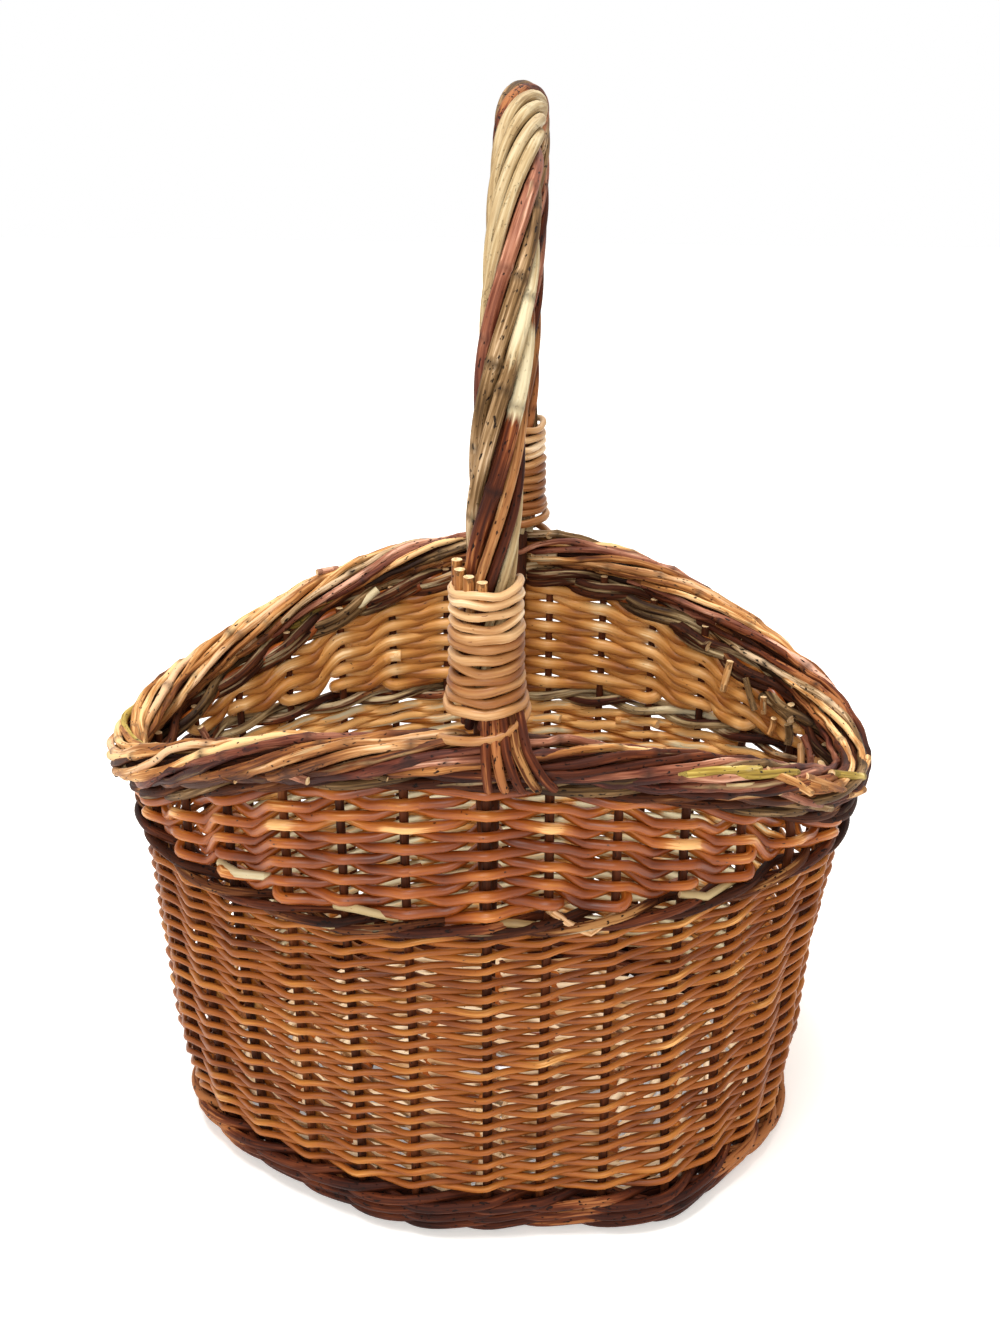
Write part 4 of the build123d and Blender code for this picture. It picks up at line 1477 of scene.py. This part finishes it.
def lashingRod(side):
    points, radii, tones = [], [], []
    names = ("topThinner", "flare", "sweep", "startOut", "sway", "topLight", "firstLight")
    thinner, flare, sweep, startOut, sway, topLight, firstLight = [lashing[name] for name in names]
    count = round(lashing["steps"] * (lashing["turns"] + lashing["over"]))
    for i in range(count):
        turns = i / lashing["steps"]
        # counter-clockwise as it climbs
        turn = lashing["start"] + 2 * math.pi * turns
        height = lashing["bottom"] + turns * lashing["pitch"]
        height -= sweep[0] * max(0, 1 - turns / sweep[1]) ** 1.3
        reach = lashing["reach"] + flare[0] * max(0, 1 - turns / flare[1]) ** 1.5
        reach += startOut[0] * max(0, 1 - turns / startOut[1])
        reach += wander(sway[0], math.cos(turn) * 2, math.sin(turn) * 2, turns * 1.1 + side)
        height += wander(sway[1], math.cos(turn), math.sin(turn), turns * 0.9 + 4 * side)
        across, out = math.cos(turn) * reach, -math.sin(turn) * reach
        points.append(Vector((legX(side) - side * across, side * (legY + out), height)))
        thin = thinner[0] if turns > thinner[1] else 1
        thicker = wander(lashing["thickWaves"], turns * 3, side, 2)
        radii.append(lashing["radius"] * thin * (1 + thicker))
        tone = lashing["tone"] + topLight[0] * ease((turns - topLight[1]) / topLight[2])
        tone += firstLight[0] * (1 - ease(turns / firstLight[1]))
        tones.append(tone + wander(lashing["toneWaves"], i * 0.045, side, 7))
    return {"points": points, "radii": radii, "tone": tones, "finish": "lashingBuff"}


# the rope's ends, which come out under the lashing and fan out over the border's outside
tails = {
    "steps": 21,
    "radius": 0.0024,
    "tip": 0.78,
    "spacing": 0.0062,
    "spread": (0.42, 1.08),  # shares of the spacing, at the top and the bottom
    "slide": (0.0055, 0.0155),  # how far to the right they lie, at the top and the bottom
    "reach": 0.0150,  # from the border's centre line
    "swing": (78, -40),  # degrees round the border, from its top to below
    "leave": math.radians(30),  # above this they leave the border for the leg,
    "leaveRun": math.radians(48),
    "legReach": 0.0115,  # round which they stand on a circle of this radius,
    "rise": 0.010,  # and higher by this
    "tones": (0.75, 0.9, 0.65, 0.85, 0.6),
    "finish": ("maroonBark", "maroonBark", "maroonBark", "brownBark", "maroonBark"),
}


def tailRod(side, number):
    place = number - (len(tails["tones"]) - 1) / 2
    count = tails["steps"] + 1
    points = []
    for i in range(count):
        share = i / tails["steps"]
        swing = math.radians(mix(*tails["swing"], share))
        slide = place * tails["spacing"] * mix(*tails["spread"], share) + mix(*tails["slide"], share)
        x = legX(side) - side * slide
        y = side * (ovalHalfWidth(x, 0) + tails["reach"] * math.cos(swing))
        z = rimHeight(stakeLine(0)) + tails["reach"] * math.sin(swing)
        if swing > tails["leave"]:
            lift = ease((swing - tails["leave"]) / tails["leaveRun"])
            stand = math.sqrt(max(0.00001, tails["legReach"] ** 2 - slide**2))
            y = mix(y, side * (legY + stand), lift)
            z += tails["rise"] * lift
        points.append(Vector((x, y, z)))
    return {
        "points": points,
        "radii": taper(count, tails["radius"], tails["radius"] * tails["tip"]),
        "tone": tails["tones"][number],
        "finish": tails["finish"][number],
    }


# the rope's cut ends above the lashings
cutEnds = {
    "radius": 0.0022,
    "reach": 0.0116,
    "sink": 0.006,  # they begin this far down inside the lashing
    "above": 0.002,
    "steps": 6,
    "tone": 0.6,
    # how far round the leg each stands, seen from outside, and how far it stands up
    "front": ((178, 0.0090), (150, 0.0070), (122, 0.0055), (94, 0.0040)),
    "back": ((262, 0.0090), (295, 0.0070), (325, 0.0060)),
}


def endRod(side, angle, height):
    turn = math.radians(angle)
    x = legX(side) - side * cutEnds["reach"] * math.cos(turn)
    y = side * (legY + cutEnds["reach"] * math.sin(turn))
    top = lashing["bottom"] + lashing["turns"] * lashing["pitch"] + cutEnds["above"]
    count = cutEnds["steps"] + 1
    levels = [mix(-cutEnds["sink"], height, i / cutEnds["steps"]) for i in range(count)]
    points = [Vector((x, y, top + level)) for level in levels]
    radii = [cutEnds["radius"]] * count
    return {"points": points, "radii": radii, "tone": cutEnds["tone"], "finish": "goldenBark"}


random.seed(16)
for side, word in ((-1, "front"), (1, "back")):
    rods = [lashingRod(side)]
    finishPiece(makeRods(f"{word}_lashing_rod", rods, 4), [f"{word}_lashing"])
    rods = [tailRod(side, number) for number in range(len(tails["tones"]))]
    finishPiece(makeRods(f"{word}_tail_rods", rods, 4), [f"{word}_rope_tails"])
    rods = [endRod(side, angle, height) for angle, height in cutEnds[word]]
    finishPiece(makeRods(f"{word}_end_rods", rods, 4), [f"{word}_rod_ends"])
print("lashings made")

# the base: rods woven round and round, over and under the sticks
base = {
    "height": 0.0079,
    "rowStep": 0.0042,
    "radius": 0.0023,
    "outerOffset": -0.0290,
    "rows": 22,
    "shortXs": [0.034 * (n - 3) for n in range(7)],
    "longYs": [0.026 * (n - 1) for n in range(3)],
    "lift": 0.0046,
    "points": 240,
    "smoothing": 13,  # a rod crosses from over to under in so many points
    "leastEnd": 0.004,  # an oval whose ends would be rounder than this becomes a spindle,
    "leastWidth": 0.003,  # and past this half width the weave ends
    "leastY": 0.0005,  # a spindle's two sides stay this far from the middle line
    # the rods take the lightest of their shades: partly their own pale wood, partly painted light, so
    # that what shows through the wall's gaps looks brightly lit
    "tone": (0.85, 1.15),
}


def baseRing(offset):
    # the line of one round, as a closed list of points
    count = base["points"]
    if wall["endRadius"] + offset > base["leastEnd"]:
        return [ovalPoint(roundLength * i / count, offset, base["height"]) for i in range(count)]
    half = math.sqrt((sideRadius + offset) ** 2 - sideCentre**2)
    ring = []
    for i in range(count):
        x = half * math.cos(2 * math.pi * i / count)
        y = max(base["leastY"], ovalHalfWidth(x, offset))
        ring.append(Vector((x, y if i <= count / 2 else -y, base["height"])))
    return ring


def baseRod(ring, row):
    crossings = 0
    phases = []
    for a, b in zip(ring, ring[1:] + ring[:1]):
        phases.append(crossings)
        crossings += sum((a.x - x) * (b.x - x) < 0 for x in base["shortXs"])
        crossings += sum((a.y - y) * (b.y - y) < 0 for y in base["longYs"])
    width = base["smoothing"]
    looped = np.array(phases[1 - width :] + phases + phases[: width - 1], float)
    smooth = np.convolve(looped, np.ones(width) / width, "same")[width - 1 :]
    points = []
    for p, phase in zip(ring, smooth):
        height = base["height"] + base["lift"] * math.cos(math.pi * (phase + row))
        points.append(Vector((p.x, p.y, height)))
    return {
        "points": points,
        "radii": [base["radius"]] * len(points),
        "tone": random.uniform(*base["tone"]),
        "finish": "lashingBuff",
    }


random.seed(17)
rods = []
for row in range(base["rows"]):
    offset = base["outerOffset"] - row * base["rowStep"]
    if sideRadius + offset - sideCentre >= base["leastWidth"]:
        rods.append(baseRod(baseRing(offset), row))
finishPiece(makeRods("base_weave_rods", rods), ["base_weave"])
print("base made")

# the base's sticks stay as the solids have them: thick peeled rods, seen between the weave
stickWillow = willow("buffThick", "solids")
for node in ("base_long_sticks", "base_short_sticks"):
    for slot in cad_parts[node].material_slots:
        slot.material = stickWillow

bpy.context.scene.view_settings.view_transform = "Standard"

view = {
    "azimuth": 3.92,
    "elevation": 23.61,
    "distance": 0.72821,
    "target": 0.26518,  # it turns about this height over the middle of the basket
    "pixels": (1000, 1328),  # width and height of the frame, in which these two are measured
    "focal": 1484.17,
    "centre": (489.1, 640.76),
    "sensor": 36.0,
    "clipStart": 0.01,
}
camera = bpy.data.objects.new("camera", bpy.data.cameras.new("camera"))
bpy.context.scene.collection.objects.link(camera)
azimuth, elevation = math.radians(view["azimuth"]), math.radians(view["elevation"])
away = Vector((
    math.sin(azimuth) * math.cos(elevation),
    -math.cos(azimuth) * math.cos(elevation),
    math.sin(elevation),
))
width, height = view["pixels"]
camera.location = Vector((0, 0, view["target"])) + away * view["distance"]
camera.rotation_euler = away.to_track_quat("Z", "Y").to_euler()
camera.data.sensor_fit = "VERTICAL"
camera.data.sensor_height = view["sensor"]
camera.data.lens = view["focal"] / height * view["sensor"]
camera.data.shift_x = (width / 2 - view["centre"][0]) / height
camera.data.shift_y = (view["centre"][1] - height / 2) / height
camera.data.clip_start = view["clipStart"]
bpy.context.scene.camera = camera

# three soft lamps, all aimed at the wall
lamps = {
    "top": {"place": (-0.3, -0.45, 3.6), "size": 1.1, "power": 106},
    "front": {"place": (-0.5, -3.1, 2.0), "size": 1.6, "power": 51},
    "rear": {"place": (0.6, 2.6, 2.6), "size": 2.2, "power": 26},
}
lampAim = Vector((0, 0, 0.2))
for name, lamp in lamps.items():
    light = bpy.data.lights.new(name, "AREA")
    light.size = lamp["size"]
    light.energy = lamp["power"]
    holder = bpy.data.objects.new(name, light)
    bpy.context.scene.collection.objects.link(holder)
    holder.location = lamp["place"]
    holder.rotation_euler = (lampAim - holder.location).to_track_quat("-Z", "Y").to_euler()

studio = {
    "worldColour": (0.95, 0.85, 0.72, 1),  # a warm room
    "worldStrength": 0.75,
    "floorSize": 6,
    "floorDrop": 0.0005,
    "floorColour": "#f4f4f4",
    "floorRough": 0.9,
    "floorGlow": 0.30,
}


def whiteToCamera(tree, shader, plain):
    # seen directly, in gloss or through glass it is white; it lights as plain pale ground
    path = addNode(tree, "LightPath")
    seen = addNode(
        tree, "Math", {"operation": "MAXIMUM"},
        {0: path.outputs["Is Camera Ray"], 1: path.outputs["Is Glossy Ray"]},
    )
    seen = addNode(
        tree, "Math", {"operation": "MAXIMUM"},
        {0: seen.outputs[0], 1: path.outputs["Is Transmission Ray"]},
    )
    return addNode(tree, "MixShader", {}, {0: seen.outputs[0], 1: plain, 2: shader})


world = bpy.data.worlds.new("studio")
bpy.context.scene.world = world
world.use_nodes = True
tree = world.node_tree
dim = tree.nodes["Background"]
dim.inputs["Color"].default_value = studio["worldColour"]
dim.inputs["Strength"].default_value = studio["worldStrength"]
white = addNode(tree, "Background", {}, {"Color": (1, 1, 1, 1), "Strength": 1.0})
blend = whiteToCamera(tree, white.outputs[0], dim.outputs[0])
tree.links.new(blend.outputs[0], tree.nodes["World Output"].inputs["Surface"])

bpy.ops.object.select_all(action="DESELECT")
bpy.ops.mesh.primitive_plane_add(size=studio["floorSize"], location=(0, 0, -studio["floorDrop"]))
floor = bpy.context.active_object
floor.name = "floor"
# painted board, matt: nearly white, and it keeps the basket's shadow
floorMaterial = bpy.data.materials.new("paleFloor")
floorMaterial.use_nodes = True
tree = floorMaterial.node_tree
shader = tree.nodes["Principled BSDF"]
shader.inputs["Base Color"].default_value = colour(studio["floorColour"])
shader.inputs["Roughness"].default_value = studio["floorRough"]
glow = addNode(tree, "Emission", {}, {"Color": (1, 1, 1, 1), "Strength": studio["floorGlow"]})
lit = addNode(tree, "AddShader", {}, {0: shader.outputs[0], 1: glow.outputs[0]})
blend = whiteToCamera(tree, lit.outputs[0], shader.outputs[0])
tree.links.new(blend.outputs[0], tree.nodes["Material Output"].inputs["Surface"])
floor.data.materials.append(floorMaterial)
print("stage made")
